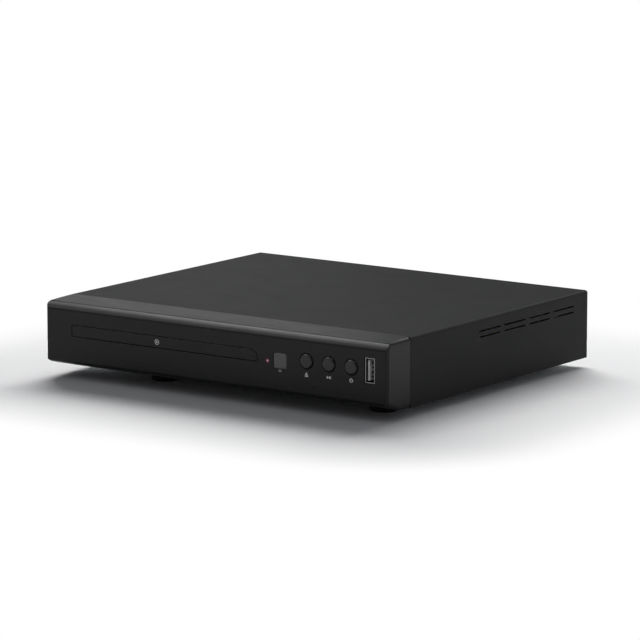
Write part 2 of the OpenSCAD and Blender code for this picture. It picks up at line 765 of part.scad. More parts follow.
module board_capacitors() {
  color("#27335c") at_case() {
    for (i = [0:3])
      on_main(14 + i * 8, 62) cylinder(r = 2.5, h = 9);
    for (i = [0:2])
      on_main(58, 44 + i * 6) cylinder(r = 2, h = 7);
    on_main(10, 50) cylinder(r = 3.15, h = 11);
    for (i = [0:1])
      on_jack(84 + i * 8, 6) cylinder(r = 2.5, h = 9);
  }
}

// A shrouded header with its pins' slot
module header(w, d, h) {
  difference() {
    cube([w, d, h]);
    translate([0.8, 0.8, 1.5]) cube([w - 1.6, d - 1.6, h]);
  }
}

module board_connectors() {
  color("#e9e6da") at_case() {
    translate([ribbon_x - 1, main_y + 2, board_top]) header(18, 5, 6);
    on_main(1, 12) header(5, 14, 6);
    on_main(1, 40) header(4, 12, 6);
    on_main(46, 8) header(12, 5, 7);
    on_power(22, 0.015) header(16, 5, 7);
    on_jack(jack_w - 8, 7) header(7, 5, 6);
    translate([loader_x + frame_half - frame_wall - flange_in + 4, 100, deck_top]) header(5, 14, 3.5);
    translate([ribbon_x - 1, front_board_y + board_t, front_board_z + 3]) cube([18, 3.4, 5]);
  }
}

module inner_screws() {
  color("#b9bcc0") at_case() {
    for (place = board_posts)
      translate([place[0], place[1], board_top + 0.02]) screw(5.4);
    for (place = loader_posts)
      translate([place[0], place[1], deck_z + ear_t + 0.02]) screw(4.4);
    for (x = front_post_xs)
      translate([x, front_board_y + board_t + 0.02, front_post_z]) rotate([-90, 0, 0]) screw(7);
  }
}

module transformer() {
  color("#d7c04a") at_case() on_power(36, 0.16) {
    cube([24, 20, 3]);
    translate([3, 2, 3]) cube([18, 16, 15]);
    translate([0, 4, 3]) cube([24, 12, 4]);
    translate([0, 4, 14]) cube([24, 12, 4]);
  }
}

module power_capacitors() {
  color("#22252b") at_case() {
    on_power(12, 0.6) difference() {
      cylinder(r = 8, h = 22);
      translate([-5, -0.3, 21.6]) cube([10, 0.6, cut]);
      translate([-0.3, -5, 21.6]) cube([0.6, 10, cut]);
    }
    for (i = [0:1])
      on_power(10 + i * 11, 0.185) cylinder(r = 4, h = 16);
    on_power(28, 0.72) cube([13, 6, 11]);
  }
}

module heatsink() {
  color("#9a9da1") at_case() on_power(6, 0.345) {
    cube([26, 2, 20]);
    for (i = [0:5])
      translate([i * 4.9, -3, 0]) cube([1.5, 3.1, 20]);
  }
}

module fuse() {
  color("#c8ccd2") at_case() on_power(46, 0.5) {
    for (y = [0, 15])
      translate([0, y, 0]) cube([6, 4, 3]);
    translate([3, 0, 5.2]) rotate([-90, 0, 0]) cylinder(r = 2.6, h = 19);
  }
}

function inlet_half_w() = inlet_pin_pitch / 2 + inlet_r + 2.2;
function inlet_half_h() = inlet_r + 2;
inlet_back = panel_y - 13;
inlet_face = case_d + 1;

module inlet_housing() {
  color("#141416") at_case() difference() {
    union() {
      translate([inlet_x - inlet_half_w(), inlet_back, inlet_z - inlet_half_h()])
        cube([2 * inlet_half_w(), inlet_face - inlet_back, 2 * inlet_half_h()]);
      translate([inlet_x - inlet_half_w() + 1, inlet_back, board_top])
        cube([2 * inlet_half_w() - 2, 10, inlet_z - inlet_half_h() - board_top + 0.1]);
    }
    translate([inlet_x, inlet_face + cut, inlet_z]) rotate([90, 0, 0]) {
      for (side = [-1, 1])
        translate([side * inlet_pin_pitch / 2, 0, 0]) cylinder(r = inlet_r, h = 9 + cut);
      translate([-inlet_pin_pitch / 2, -inlet_r + 0.5, 0]) cube([inlet_pin_pitch, 2 * inlet_r - 1, 9 + cut]);
    }
  }
}

module inlet_pins() {
  color("#c9b46a") at_case()
    for (side = [-1, 1])
      translate([inlet_x + side * inlet_pin_pitch / 2, inlet_face - 8.98, inlet_z]) rotate([-90, 0, 0])
        cylinder(r = inlet_pin_d / 2, h = 7.6);
}

module rca_housing() {
  color("#18181a") at_case() difference() {
    translate([phono_xs[0] - 6, panel_y - 10, board_top]) cube([3 * phono_pitch + 12, 10 - seam, phono_z + 6 - board_top]);
    for (x = phono_xs)
      translate([x, panel_y - 8, phono_z]) rotate([-90, 0, 0]) cylinder(r = phono_d / 2 + 0.03, h = 10);
  }
}

module rca_shells() {
  color("#d0d2d6") at_case()
    for (x = phono_xs)
      translate([x, panel_y - 7.98, phono_z]) rotate([-90, 0, 0]) difference() {
        cylinder(r = phono_d / 2, h = case_d + phono_reach - panel_y + 7.98);
        translate([0, 0, 2]) cylinder(r = phono_d / 2 - 0.5, h = case_d + phono_reach);
      }
}

// Coloured insert of one phono socket: a collar against the panel and the centre insulator
module phono_insert(x) {
  at_case() translate([x, panel_y - 0.15, phono_z]) rotate([-90, 0, 0]) {
    difference() {
      cylinder(r = phono_collar_r, h = sheet + 2.3);
      translate([0, 0, -cut]) cylinder(r = phono_d / 2 + 0.03, h = sheet + 6);
    }
    translate([0, 0, -5.8]) difference() {
      cylinder(r = phono_d / 2 - 0.55, h = case_d + phono_reach - panel_y + 5.8 - 0.6);
      translate([0, 0, 6]) cylinder(r = 1.65, h = case_d);
    }
  }
}

module coax_insert() color("#e07a1f") phono_insert(phono_xs[0]);
module video_insert() color("#e8c51e") phono_insert(phono_xs[1]);
module left_insert() color("#e8e8e6") phono_insert(phono_xs[2]);
module right_insert() color("#c4202a") phono_insert(phono_xs[3]);

module hdmi_socket() {
  color("#c2c5c9") at_case() translate([hdmi_x, panel_y - 11, board_top]) {
    difference() {
      translate([-hdmi_w / 2, 0, 1]) cube([hdmi_w, 11 + sheet + 0.6, hdmi_h]);
      translate([-hdmi_w / 2 + 0.5, 2, 1.5]) cube([hdmi_w - 1, 14, hdmi_h - 1]);
    }
    translate([-5, 1, 3]) cube([10, 9.5, 1.2]);
    translate([-hdmi_w / 2 + 1, 1, 0]) cube([hdmi_w - 2, 8, 1.1]);
  }
}

ribbon_t = 0.4;
ribbon_x = front_post_xs[0] + head_r + 11.5;

module ribbon_cables() {
  color("#e3e0d6") at_case() {
    // From the front board down and back to the main board
    translate([ribbon_x, 0, 0]) rotate([90, 0, 90]) linear_extrude(16) polygon([
      [front_board_y + board_t + 3.42, front_board_z + 5.4],
      [front_board_y + board_t + 6, front_board_z + 6.4],
      [main_y + 4.3, board_top + 9], [main_y + 4.7, board_top + 6.02], [main_y + 4.3, board_top + 6.02],
      [main_y + 3.9, board_top + 8.4],
      [front_board_y + board_t + 6.2, front_board_z + 5.9],
      [front_board_y + board_t + 3.42, front_board_z + 5]]);
    // From the main board to the header on the loader's frame
    translate([0, main_y + 76, 0]) rotate([90, 0, 0]) linear_extrude(10) polygon([
      [right_board_x + 3, board_top + 10], [loader_ribbon_x(), deck_top + 5.5],
      [loader_ribbon_x(), deck_top + 3.55], [loader_ribbon_x() + ribbon_t, deck_top + 3.55],
      [loader_ribbon_x() + ribbon_t, deck_top + 5.2], [right_board_x + 3, board_top + 10 - ribbon_t]]);
  }
}
function loader_ribbon_x() = loader_x + frame_half - frame_wall - flange_in + 6;

// A toothed wheel with straight-sided teeth, its first tooth along +x
module gear(teeth, size, h) {
  pitch_r = teeth * size / 2;
  tip = pitch_r + 0.75 * size;
  root = pitch_r - 1.05 * size;
  lean = 20 + 90 / teeth;
  half = pitch_r * sin(90 / teeth) - 0.11 * size;
  tip_half = half - (tip - pitch_r) * tan(lean);
  root_half = half + (pitch_r - root) * tan(20);
  linear_extrude(h) union() {
    circle(root + 0.02);
    for (i = [0:teeth - 1])
      rotate(i * 360 / teeth) polygon([
        [root * 0.9, -root_half], [root, -root_half], [pitch_r, -half], [tip, -tip_half],
        [tip, tip_half], [pitch_r, half], [root, root_half], [root * 0.9, root_half]]);
  }
}

// A rack along y with its pitch line at x = 0, a gap at y = 0 and its back at x = -back
module rack(first, last, size, back, h) {
  p = PI * size;
  half = p / 4 - 0.11 * size;
  root = -1.05 * size;
  tip = 0.75 * size;
  linear_extrude(h) union() {
    translate([-back, first * p]) square([back + root + 0.02, (last - first) * p]);
    for (i = [first:last - 1])
      translate([0, (i + 0.5) * p]) polygon([
        [root, -half + root * tan(20)], [tip, -half + tip * tan(20)],
        [tip, half - tip * tan(20)], [root, half - root * tan(20)]]);
  }
}

module slot(len, r, h) {
  cylinder(r = r, h = h);
  translate([len, 0, 0]) cylinder(r = r, h = h);
  translate([0, -r, 0]) cube([len, 2 * r, h]);
}

module loader_frame() {
  wall_x = frame_half - frame_wall;
  color("#3d3f43") at_loader() difference() {
    union() {
      // Side walls with the ledges that carry the tray and the tabs that hold it down
      for (side = [-1, 1]) {
        translate([side > 0 ? wall_x : -frame_half, frame_start + 6, deck_z])
          cube([frame_wall, frame_end - frame_start - 6, wall_top - deck_z]);
        translate([side > 0 ? wall_x - ledge_w : -wall_x - 0.1, frame_start + 6, tray_bottom - slide_gap - 1.6])
          cube([ledge_w + 0.1, frame_end - frame_start - 6, 1.6]);
        for (y = [frame_start + 12, disc_y + 30, frame_end - 34])
          translate([side > 0 ? wall_x - tab_w : -wall_x - 0.1, y, side > 0 ? tab_right_z : tray_top + slide_gap])
            cube([tab_w + 0.1, 10, 1.4]);
        translate([side > 0 ? wall_x - flange_in : -wall_x - 0.1, deck_end - 0.1, deck_z])
          cube([flange_in + 0.1, frame_end - deck_end + 0.1, deck_t]);
        for (y = ear_ys)
          translate([side > 0 ? frame_half - 0.1 : -frame_half - ear_len, y, deck_z]) cube([ear_len + 0.1, ear_w, ear_t]);
        // Bearings of the drive unit
        translate([side > 0 ? unit_half + bearing_gap : -unit_half - bearing_gap - bearing_w,
                   disc_y + hinge_y - 4, deck_z])
          cube([bearing_w, 8, hinge_z + 3.5 - deck_z]);
      }
      // Front deck with the gears' pins
      translate([-frame_half, frame_start, deck_z]) cube([2 * frame_half, deck_end - frame_start, deck_t]);
      translate([drive_x, drive_y, deck_z]) cylinder(r = gear_pin_r, h = tray_plate - 0.4 - deck_z);
      translate([belt_x, drive_y, deck_z]) cylinder(r = gear_pin_r, h = tray_bottom - 0.5 - deck_z);
      for (x = cam_guide_xs)
        translate([x, disc_y + cam_front - 3.4, deck_z]) cylinder(r = 1.4, h = deck_t + 3);
      // Rear cross-member
      translate([-frame_half, frame_end - 10, deck_z]) cube([2 * frame_half, 10, deck_t]);
      translate([-frame_half, frame_end - frame_wall, deck_z]) cube([2 * frame_half, frame_wall, 12]);
    }
    for (side = [-1, 1])
      translate([side * (unit_half + bearing_gap - 0.5) + (side > 0 ? 0 : -bearing_w - 1), disc_y + hinge_y, hinge_z])
        rotate([0, 90, 0]) cylinder(r = hinge_pin_r + run_gap, h = bearing_w + 1);
    for (side = [-1, 1])
      for (y = ear_ys)
        translate([side * (frame_half + ear_len / 2), y + ear_w / 2, deck_z - cut])
          cylinder(r = screw_r + 0.15, h = ear_t + 2 * cut);
    for (side = [-1, 1])
      for (y = bridge_screw_ys)
        translate([side * (frame_half - frame_wall / 2), disc_y + y, wall_top - 3]) cylinder(r = 0.6, h = 3 + cut);
    // Notch for the cable to the header
    translate([wall_x - cut, main_y + 64, deck_top + 4]) cube([frame_wall + 2 * cut, 14, 10]);
  }
}

cam_guide_xs = [-20, 4];
bridge_screw_ys = [-9, 9];
bridge_t = sheet;

module clamp_bridge() {
  color("#b4b7bb") at_disc() difference() {
    union() {
      translate([-frame_half, -bridge_half, bridge_z + 0.02]) cube([2 * frame_half, 2 * bridge_half, bridge_t]);
      for (y = [-bridge_half, bridge_half - 1])
        translate([-frame_half + 8, y, bridge_z + 0.02]) cube([2 * frame_half - 16, 1, bridge_t + 1.4]);
    }
    translate([0, 0, bridge_z - cut]) cylinder(r = clamp_hub_r + 0.6, h = bridge_t + 2 * cut);
    for (side = [-1, 1])
      for (y = bridge_screw_ys)
        translate([side * (frame_half - frame_wall / 2), y, bridge_z - cut]) cylinder(r = 0.6, h = bridge_t + 2 * cut);
  }
}

module clamp_puck() {
  low = tray_top + 1;
  flange_z = bridge_z + bridge_t + 0.25;
  color("#e6e6e3") at_disc() difference() {
    union() {
      translate([0, 0, low]) cylinder(r = clamp_hub_r, h = flange_z - low + 0.1);
      translate([0, 0, flange_z]) cylinder(r = clamp_d / 2 - 2.4, h = 1.4);
      translate([0, 0, flange_z + 1.3]) cylinder(r = clamp_hub_r - 2, h = 1.6);
    }
    translate([0, 0, low - cut]) cylinder(r = 8, h = cut + 1.2);
    for (i = [0:2])
      rotate(i * 120) translate([clamp_hub_r - 5, -1, flange_z + 2]) cube([2.4, 2, 2]);
  }
}

module disc_tray() {
  back = door_t + tray_len;
  plate_h = tray_top - tray_plate;
  color("#1f2023") at_loader() {
    difference() {
      intersection() {
        translate([-tray_w / 2, door_t + 0.1, tray_plate]) cube([tray_w, tray_len - 0.1, plate_h]);
        // The upper right edge is rounded so that it passes through the front
        translate([0, back, door_z + tray_inset]) rotate([90, 0, 0]) linear_extrude(tray_len) door_outline(-tray_inset);
      }
      translate([0, disc_y, tray_top - seat_depth]) cylinder(r = seat_d / 2, h = seat_depth + cut, $fn = 96);
      translate([0, disc_y, tray_top - seat_depth - small_seat_step])
        cylinder(r = small_seat_d / 2, h = 3 + cut, $fn = 96);
      translate([0, disc_y, tray_plate - cut]) cylinder(r = window_w / 2, h = plate_h + 2 * cut);
      translate([-window_w / 2, disc_y, tray_plate - cut]) cube([window_w, tray_len, plate_h + 2 * cut]);
    }
    for (x = [-tray_w / 2, tray_w / 2 - 2])
      translate([x, door_t + 0.1, tray_bottom]) cube([2, tray_len - 0.1, rack_room + 0.1]);
    translate([rack_x, drive_y, tray_bottom])
      rack(-3, travel_teeth + 3, tray_module, 3.5, rack_room + 0.1);
    // Tongues that hold the door
    for (x = [-tray_w / 2 + 14, tray_w / 2 - 26])
      translate([x, door_t - 1.5, tray_plate + 0.6]) cube([12, 1.7, 1.6]);
  }
}

module tray_door() {
  color("#232427") at_case() difference() {
    door_prism(0, 0, door_t);
    for (x = [-tray_w / 2 + 14, tray_w / 2 - 26])
      translate([loader_x + x - 0.1, door_t - 1.6, tray_plate + 0.5]) cube([12.2, 1.6 + cut, 1.8]);
  }
}

module tray_motor() {
  color("#a9acb0") at_loader() translate([motor_x, drive_y - 2, 0]) difference() {
    union() {
      translate([0, 0, deck_top + 0.02]) cylinder(r = motor_r, h = motor_top - deck_top - 0.8);
      translate([0, 0, deck_top + 1]) cylinder(r = 4.5, h = motor_top - deck_top - 1);
    }
    translate([0, 0, motor_top - 2.5]) cylinder(r = shaft_r + run_gap, h = 3);
  }
}

// A grooved belt wheel between z = 0 and z = pulley_t
module pulley(working_r) {
  groove_r = working_r - belt_t / 2;
  cylinder(r = groove_r - 0.1, h = pulley_t);
  for (z = [0, pulley_t - 0.4])
    translate([0, 0, z]) cylinder(r = working_r + belt_t / 2 + 0.3, h = 0.4);
}

module motor_pulley() {
  color("#c6a24a") at_loader() translate([motor_x, drive_y - 2, 0]) {
    translate([0, 0, pulley_z]) pulley(motor_pulley_r);
    translate([0, 0, motor_top - 2]) cylinder(r = shaft_r, h = pulley_z - motor_top + 2.5);
  }
}

module drive_belt() {
  dx = motor_x - belt_x;
  dy = -2;
  span = sqrt(dx * dx + dy * dy);
  tilt = asin((big_pulley_r - motor_pulley_r) / span);
  // The belt's loop around both wheels, with its face moved outwards by d
  module loop(d) polygon(concat(
    arc(0, 0, big_pulley_r + d, 90 - tilt, 270 + tilt, 28),
    arc(span, 0, motor_pulley_r + d, -90 + tilt, 90 - tilt, 14)));
  color("#141416") at_loader() translate([belt_x, drive_y, pulley_z + (pulley_t - belt_t) / 2]) rotate(atan2(dy, dx))
    linear_extrude(belt_t) difference() {
      loop(belt_t / 2);
      loop(-belt_t / 2);
    }
}

module belt_gear() {
  color("#ece8dc") at_loader() translate([belt_x, drive_y, 0]) difference() {
    union() {
      translate([0, 0, big_wheel_z - 0.4]) rotate(180 / pinion_teeth)
        gear(pinion_teeth, tray_module, pulley_z - big_wheel_z + 0.5);
      translate([0, 0, pulley_z]) pulley(big_pulley_r);
      translate([0, 0, deck_top + 0.2]) cylinder(r = 3, h = big_wheel_z - deck_top);
    }
    translate([0, 0, deck_z]) cylinder(r = gear_pin_r + run_gap, h = tray_bottom);
  }
}

module drive_gear() {
  color("#e4dfd0") at_loader() translate([drive_x, drive_y, 0]) difference() {
    union() {
      translate([0, 0, big_wheel_z]) gear(big_wheel_teeth, tray_module, big_wheel_t);
      translate([0, 0, tray_bottom]) gear(rack_wheel_teeth, tray_module, rack_room - 0.2);
      translate([0, 0, deck_top + 0.2]) cylinder(r = 4, h = tray_bottom - deck_top);
    }
    translate([0, 0, deck_z]) cylinder(r = gear_pin_r + run_gap, h = tray_top);
  }
}

module cam_slider() {
  low = hinge_z - cam_drop - cam_slot_r - 0.4;
  incline = atan(cam_drop / cam_travel);
  color("#d9d5c8") at_disc() difference() {
    union() {
      translate([-42, cam_front, low]) cube([66, cam_t, hinge_z + 3 - low]);
      translate([-42, cam_front - 6, deck_top + 0.2]) cube([66, 6.1, 1.4]);
    }
    // Inclined slots for the drive unit's two pins
    for (x = [-cam_pin_x, cam_pin_x])
      translate([x, cam_back + cut, hinge_z]) rotate([90, 0, 0]) mirror([1, 0, 0]) rotate(-incline)
        slot(cam_travel / cos(incline), cam_slot_r, cam_t + 2 * cut);
    for (x = cam_guide_xs)
      translate([x - cam_travel, cam_front - 3.4, deck_top - cut]) slot(cam_travel, 1.6, 4);
  }
}

module traverse_frame() {
  color("#4a4c50") at_disc() difference() {
    union() {
      translate([-unit_half, unit_front, unit_z]) cube([2 * unit_half, unit_back - unit_front, unit_t]);
      // Stiffening edges
      for (x = [-unit_half, unit_half - 1.5])
        translate([x, unit_front, unit_z]) cube([1.5, 30, unit_t + 2]);
      translate([-unit_half, unit_front, unit_z]) cube([2 * unit_half, 1.5, unit_t + 2]);
      // Ear for the pickup's gears
      translate([unit_half - 0.1, sled_wheel_y - 12, unit_z])
        cube([8, sled_motor_y - sled_wheel_y + 22, unit_t]);
      translate([sled_wheel_x, sled_wheel_y, unit_z]) cylinder(r = 1, h = sled_big_z + 2 - unit_z);
      // Holders of the guide rods
      for (x = [-rod_x, rod_x])
        for (y = [rod_start, rod_end - 3])
          translate([x - 2.8, y, unit_z + 0.5]) cube([5.6, 3, rod_z + 2.8 - unit_z - 0.5]);
      for (side = [-1, 1]) {
        // Lugs and pins of the hinge
        translate([side > 0 ? unit_half - 3 : -unit_half, unit_back - 4, unit_z])
          cube([3, hinge_y + 2 - unit_back + 4, unit_t]);
        translate([side > 0 ? unit_half - 2 : -unit_half - hinge_reach + 1, hinge_y, hinge_z])
          rotate([0, 90, 0]) cylinder(r = hinge_pin_r, h = hinge_reach + 1);
        // Pins in the slider's slots
        translate([side * cam_pin_x, unit_front + 0.5, hinge_z]) rotate([90, 0, 0])
          cylinder(r = cam_pin_r, h = unit_front + 0.5 - cam_front + 0.6);
      }
    }
    // Opening that the pickup travels in
    translate([-sled_half_w - 1, rod_start + 3, unit_z - cut])
      cube([2 * sled_half_w + 2, rod_end - 6 - rod_start, unit_t + 2 * cut]);
    for (x = [-rod_x, rod_x])
      translate([x, rod_start - cut, rod_z]) rotate([-90, 0, 0]) cylinder(r = rod_d / 2 + 0.02, h = rod_end - rod_start + 2 * cut);
    translate([sled_wheel_x, sled_motor_y, unit_z - cut]) cylinder(r = 1.6, h = unit_t + 2 * cut);
  }
}

module spindle_stator() {
  bearing_z = unit_z + unit_t;
  color("#2d6a48") at_disc() difference() {
    union() {
      translate([-14, -13, bearing_z + 0.02]) cube([28, 23.5, 0.8]);
      translate([0, 0, bearing_z + 0.1]) cylinder(r = 3, h = rotor_top - 0.9 - bearing_z);
      translate([0, 0, rotor_bottom + 0.2]) cylinder(r = 9, h = 1.6);
    }
    translate([0, 0, bearing_z + 0.4]) cylinder(r = shaft_r + run_gap, h = 10);
  }
}

module spindle_rotor() {
  color("#c3c6ca") at_disc() {
    difference() {
      translate([0, 0, rotor_bottom]) cylinder(r = rotor_r, h = rotor_top - rotor_bottom);
      translate([0, 0, rotor_bottom - cut]) cylinder(r = rotor_r - 0.8, h = rotor_top - rotor_bottom + cut - 0.5);
    }
    translate([0, 0, unit_z + unit_t + 0.6]) cylinder(r = shaft_r, h = table_z - unit_z - unit_t);
  }
}

module turntable() {
  color("#1b1c1e") at_disc() difference() {
    union() {
      translate([0, 0, rotor_top + 0.02]) cylinder(r = 7, h = table_z - rotor_top - 1);
      translate([0, 0, table_z - 1.6]) cylinder(r = turntable_d / 2, h = 1.6);
      translate([0, 0, table_z - 0.1]) cylinder(r1 = 7.45, r2 = 6.4, h = cone_top - table_z + 0.1);
    }
    translate([0, 0, rotor_top - cut]) cylinder(r = shaft_r + 0.02, h = table_z - rotor_top + cut + 0.8);
    // Ring groove around the cone
    translate([0, 0, table_z - 0.5]) difference() {
      cylinder(r = 10.5, h = 1);
      translate([0, 0, -cut]) cylinder(r = 8.5, h = 1 + 2 * cut);
    }
  }
}

module guide_rods() {
  color("#d5d7da") at_disc()
    for (x = [-rod_x, rod_x])
      translate([x, rod_start + 0.5, rod_z]) rotate([-90, 0, 0]) cylinder(r = rod_d / 2, h = rod_end - rod_start - 1);
}

module pickup_sled() {
  color("#8b8e92") at_disc() translate([0, sled_home, 0]) {
    difference() {
      union() {
        translate([-sled_half_w, -sled_half_l, sled_bottom])
          cube([2 * sled_half_w, 2 * sled_half_l, sled_top - sled_bottom]);
        translate([-12, -5.6, sled_top - 0.1]) cube([24, 14.6, optic_top - sled_top + 0.1]);
      }
      for (x = [-rod_x, rod_x])
        translate([x, -sled_half_l - cut, rod_z]) rotate([-90, 0, 0])
          cylinder(r = rod_d / 2 + run_gap, h = 2 * sled_half_l + 2 * cut);
      translate([0, 0.6, optic_top - 2.4]) cylinder(r = lens_well_r, h = 2.4 + cut);
    }
    translate([sled_half_w - 0.1, -sled_half_l + 1, sled_rack_z]) cube([sled_rack_x - 3 - sled_half_w, 2 * sled_half_l - 2, sled_rack_t]);
    translate([sled_rack_x, sled_wheel_y - sled_home, sled_rack_z])
      rack(-24, 2, sled_module, 3.4, sled_rack_t);
  }
}

module objective_lens() {
  color("#5a6f9c") at_disc() translate([0, sled_home + 0.6, optic_top - 1.8]) {
    cylinder(r = lens_well_r - 0.6, h = 2);
    cylinder(r = 3, h = 2.6);
  }
}

module sled_motor() {
  color("#b0b3b7") at_disc() translate([sled_wheel_x, sled_motor_y, 0]) difference() {
    union() {
      translate([0, 0, unit_z - 6]) cylinder(r = sled_motor_r, h = 5.98);
      translate([0, 0, unit_z - 0.1]) cylinder(r = 1.5, h = unit_t - 0.3);
    }
    translate([0, 0, unit_z]) cylinder(r = 0.75 + run_gap, h = unit_t);
  }
}

module sled_gear() {
  color("#ece8dc") at_disc() translate([sled_wheel_x, sled_wheel_y, 0]) difference() {
    union() {
      translate([0, 0, sled_rack_z]) gear(sled_wheel_teeth, sled_module, sled_rack_t + 0.35);
      translate([0, 0, sled_big_z]) gear(sled_big_teeth, sled_module, 1.5);
    }
    translate([0, 0, unit_z]) cylinder(r = 1 + run_gap, h = 12);
  }
}

module sled_pinion() {
  color("#c6a24a") at_disc() translate([sled_wheel_x, sled_motor_y, 0]) {
    translate([0, 0, sled_big_z - 0.3]) rotate(180 / sled_pinion_teeth)
      gear(sled_pinion_teeth, sled_module, 2.2);
    translate([0, 0, unit_z + 0.2]) cylinder(r = 0.75, h = sled_big_z - unit_z);
  }
}

top_cover();
bottom_chassis();
rear_panel();
front_bezel();
ir_window();
led_lens();
rubber_feet();
case_screws();
eject_button();
play_button();
power_button();
front_board();
tact_switches();
ir_receiver();
usb_shell();
usb_tongue();
usb_contacts();
main_board();
board_chips();
board_capacitors();
board_connectors();
inner_screws();
power_board();
transformer();
power_capacitors();
heatsink();
fuse();
inlet_housing();
inlet_pins();
jack_board();
rca_housing();
rca_shells();
coax_insert();
video_insert();
left_insert();
right_insert();
hdmi_socket();
ribbon_cables();
loader_frame();
clamp_bridge();
clamp_puck();
disc_tray();
tray_door();
tray_motor();
motor_pulley();
drive_belt();
belt_gear();
drive_gear();
cam_slider();
traverse_frame();
spindle_stator();
spindle_rotor();
turntable();
guide_rods();
pickup_sled();
objective_lens();
sled_motor();
sled_gear();
sled_pinion();
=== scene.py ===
"""A compact disc player with a motor-driven tray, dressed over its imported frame.

Lengths are in metres, and in millimetres where a docstring says so. The front looks along -Y, +X is to the
right of someone facing it, and +Z is up.
"""

from __future__ import annotations

import json
import logging
import math
from abc import ABC, abstractmethod
from collections.abc import Sequence
from dataclasses import dataclass, field
from enum import Enum
from typing import Any, ClassVar, Union

import bmesh
import bpy
from mathutils import Matrix, Vector

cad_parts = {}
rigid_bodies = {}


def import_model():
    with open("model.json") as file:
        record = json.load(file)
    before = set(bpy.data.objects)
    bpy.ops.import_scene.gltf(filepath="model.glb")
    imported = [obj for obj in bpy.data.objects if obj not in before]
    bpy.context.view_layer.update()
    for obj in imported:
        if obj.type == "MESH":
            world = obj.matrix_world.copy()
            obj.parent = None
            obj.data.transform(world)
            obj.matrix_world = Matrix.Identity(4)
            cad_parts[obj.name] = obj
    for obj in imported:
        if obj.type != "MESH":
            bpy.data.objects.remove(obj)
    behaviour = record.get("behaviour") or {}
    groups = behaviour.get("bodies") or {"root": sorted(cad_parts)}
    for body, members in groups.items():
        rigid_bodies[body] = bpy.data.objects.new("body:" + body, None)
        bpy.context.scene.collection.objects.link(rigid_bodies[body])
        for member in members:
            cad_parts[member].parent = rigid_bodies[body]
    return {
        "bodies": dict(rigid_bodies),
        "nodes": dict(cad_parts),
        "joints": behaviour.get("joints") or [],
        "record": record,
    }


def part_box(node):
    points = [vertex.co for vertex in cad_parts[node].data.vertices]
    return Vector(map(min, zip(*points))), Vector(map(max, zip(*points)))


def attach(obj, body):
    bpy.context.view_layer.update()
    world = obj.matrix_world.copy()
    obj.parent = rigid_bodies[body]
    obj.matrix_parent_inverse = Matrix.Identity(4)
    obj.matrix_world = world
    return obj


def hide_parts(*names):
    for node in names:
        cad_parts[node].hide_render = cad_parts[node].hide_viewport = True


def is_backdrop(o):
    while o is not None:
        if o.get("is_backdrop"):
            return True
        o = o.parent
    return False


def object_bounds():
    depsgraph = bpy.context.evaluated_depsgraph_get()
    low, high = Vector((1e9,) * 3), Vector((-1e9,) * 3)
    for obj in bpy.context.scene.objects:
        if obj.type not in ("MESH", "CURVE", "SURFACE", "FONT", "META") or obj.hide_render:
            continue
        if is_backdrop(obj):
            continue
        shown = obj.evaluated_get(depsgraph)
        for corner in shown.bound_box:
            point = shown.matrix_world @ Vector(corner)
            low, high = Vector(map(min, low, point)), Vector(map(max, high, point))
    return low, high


LOG = logging.getLogger("player")
MM = 0.001
NOISE_FALLOFF = 0.55  # what share of its weight each finer layer of a noise keeps
CAD_WELD = 2e-6  # corners of the CAD meshes that lie closer together than this are one
NEW_WELD = 1e-6  # the same for new meshes
FLAT = 0.4  # degrees: CAD edges flatter than this are dissolved
CRISP = 30.0  # degrees: CAD edges sharper than this stay crisp and are eased
INK_DEPTH = 0.02 * MM  # how far printing stands proud of the surface, and how far it reaches in
Colour = tuple[float, float, float]
Value = Union["Wire", float]


class Axis(Enum):
    """A direction that a shape is turned about or a grain runs along."""

    X = 0
    Y = 1
    Z = 2

    @property
    def vector(self) -> Vector:
        """The unit vector of the axis."""
        made = Vector((0.0, 0.0, 0.0))
        made[self.value] = 1.0
        return made


# Materials ----------------------------------------------------------------------------------------


class Wire:
    """A value inside a material that can be used in arithmetic."""

    def __init__(self, mixture: Mixture, socket: bpy.types.NodeSocket) -> None:
        """Keep the socket and the mixture that it belongs to."""
        self.mixture = mixture
        self.socket = socket

    def _math(self, operation: str, *values: Value) -> Wire:
        """Add one Math node over the values."""
        node = self.mixture.node("ShaderNodeMath", {"operation": operation}, dict(enumerate(values)))
        return Wire(self.mixture, node.outputs[0])

    def __add__(self, other: Value) -> Wire:
        """This value plus another."""
        return self._math("ADD", self, other)

    __radd__ = __add__

    def __sub__(self, other: Value) -> Wire:
        """This value less another."""
        return self._math("SUBTRACT", self, other)

    def __rsub__(self, other: Value) -> Wire:
        """Another value less this one."""
        return self._math("SUBTRACT", other, self)

    def __mul__(self, other: Value) -> Wire:
        """This value times another."""
        return self._math("MULTIPLY", self, other)

    __rmul__ = __mul__

    def __pow__(self, other: Value) -> Wire:
        """This value to a power."""
        return self._math("POWER", self, other)

    def __abs__(self) -> Wire:
        """The value without its sign."""
        return self._math("ABSOLUTE", self)

    def most(self, other: Value) -> Wire:
        """The larger of two values."""
        return self._math("MAXIMUM", self, other)

    def sine(self) -> Wire:
        """The sine of the value."""
        return self._math("SINE", self)

    def rise(self, low: float, high: float) -> Wire:
        """Blend from 0 at one value to 1 at another.

        Args:
            low: Where the blend starts.
            high: Where it has ended, which may be the smaller of the two.

        Returns:
            The blend, held between 0 and 1.
        """
        inputs = {"Value": self, "From Min": low, "From Max": high}
        node = self.mixture.node("ShaderNodeMapRange", {"interpolation_type": "SMOOTHSTEP"}, inputs)
        return Wire(self.mixture, node.outputs[0])

    def span(self, other: Wire) -> Wire:
        """The distance that this offset and one at a right angle to it make."""
        return (self**2.0 + other**2.0) ** 0.5


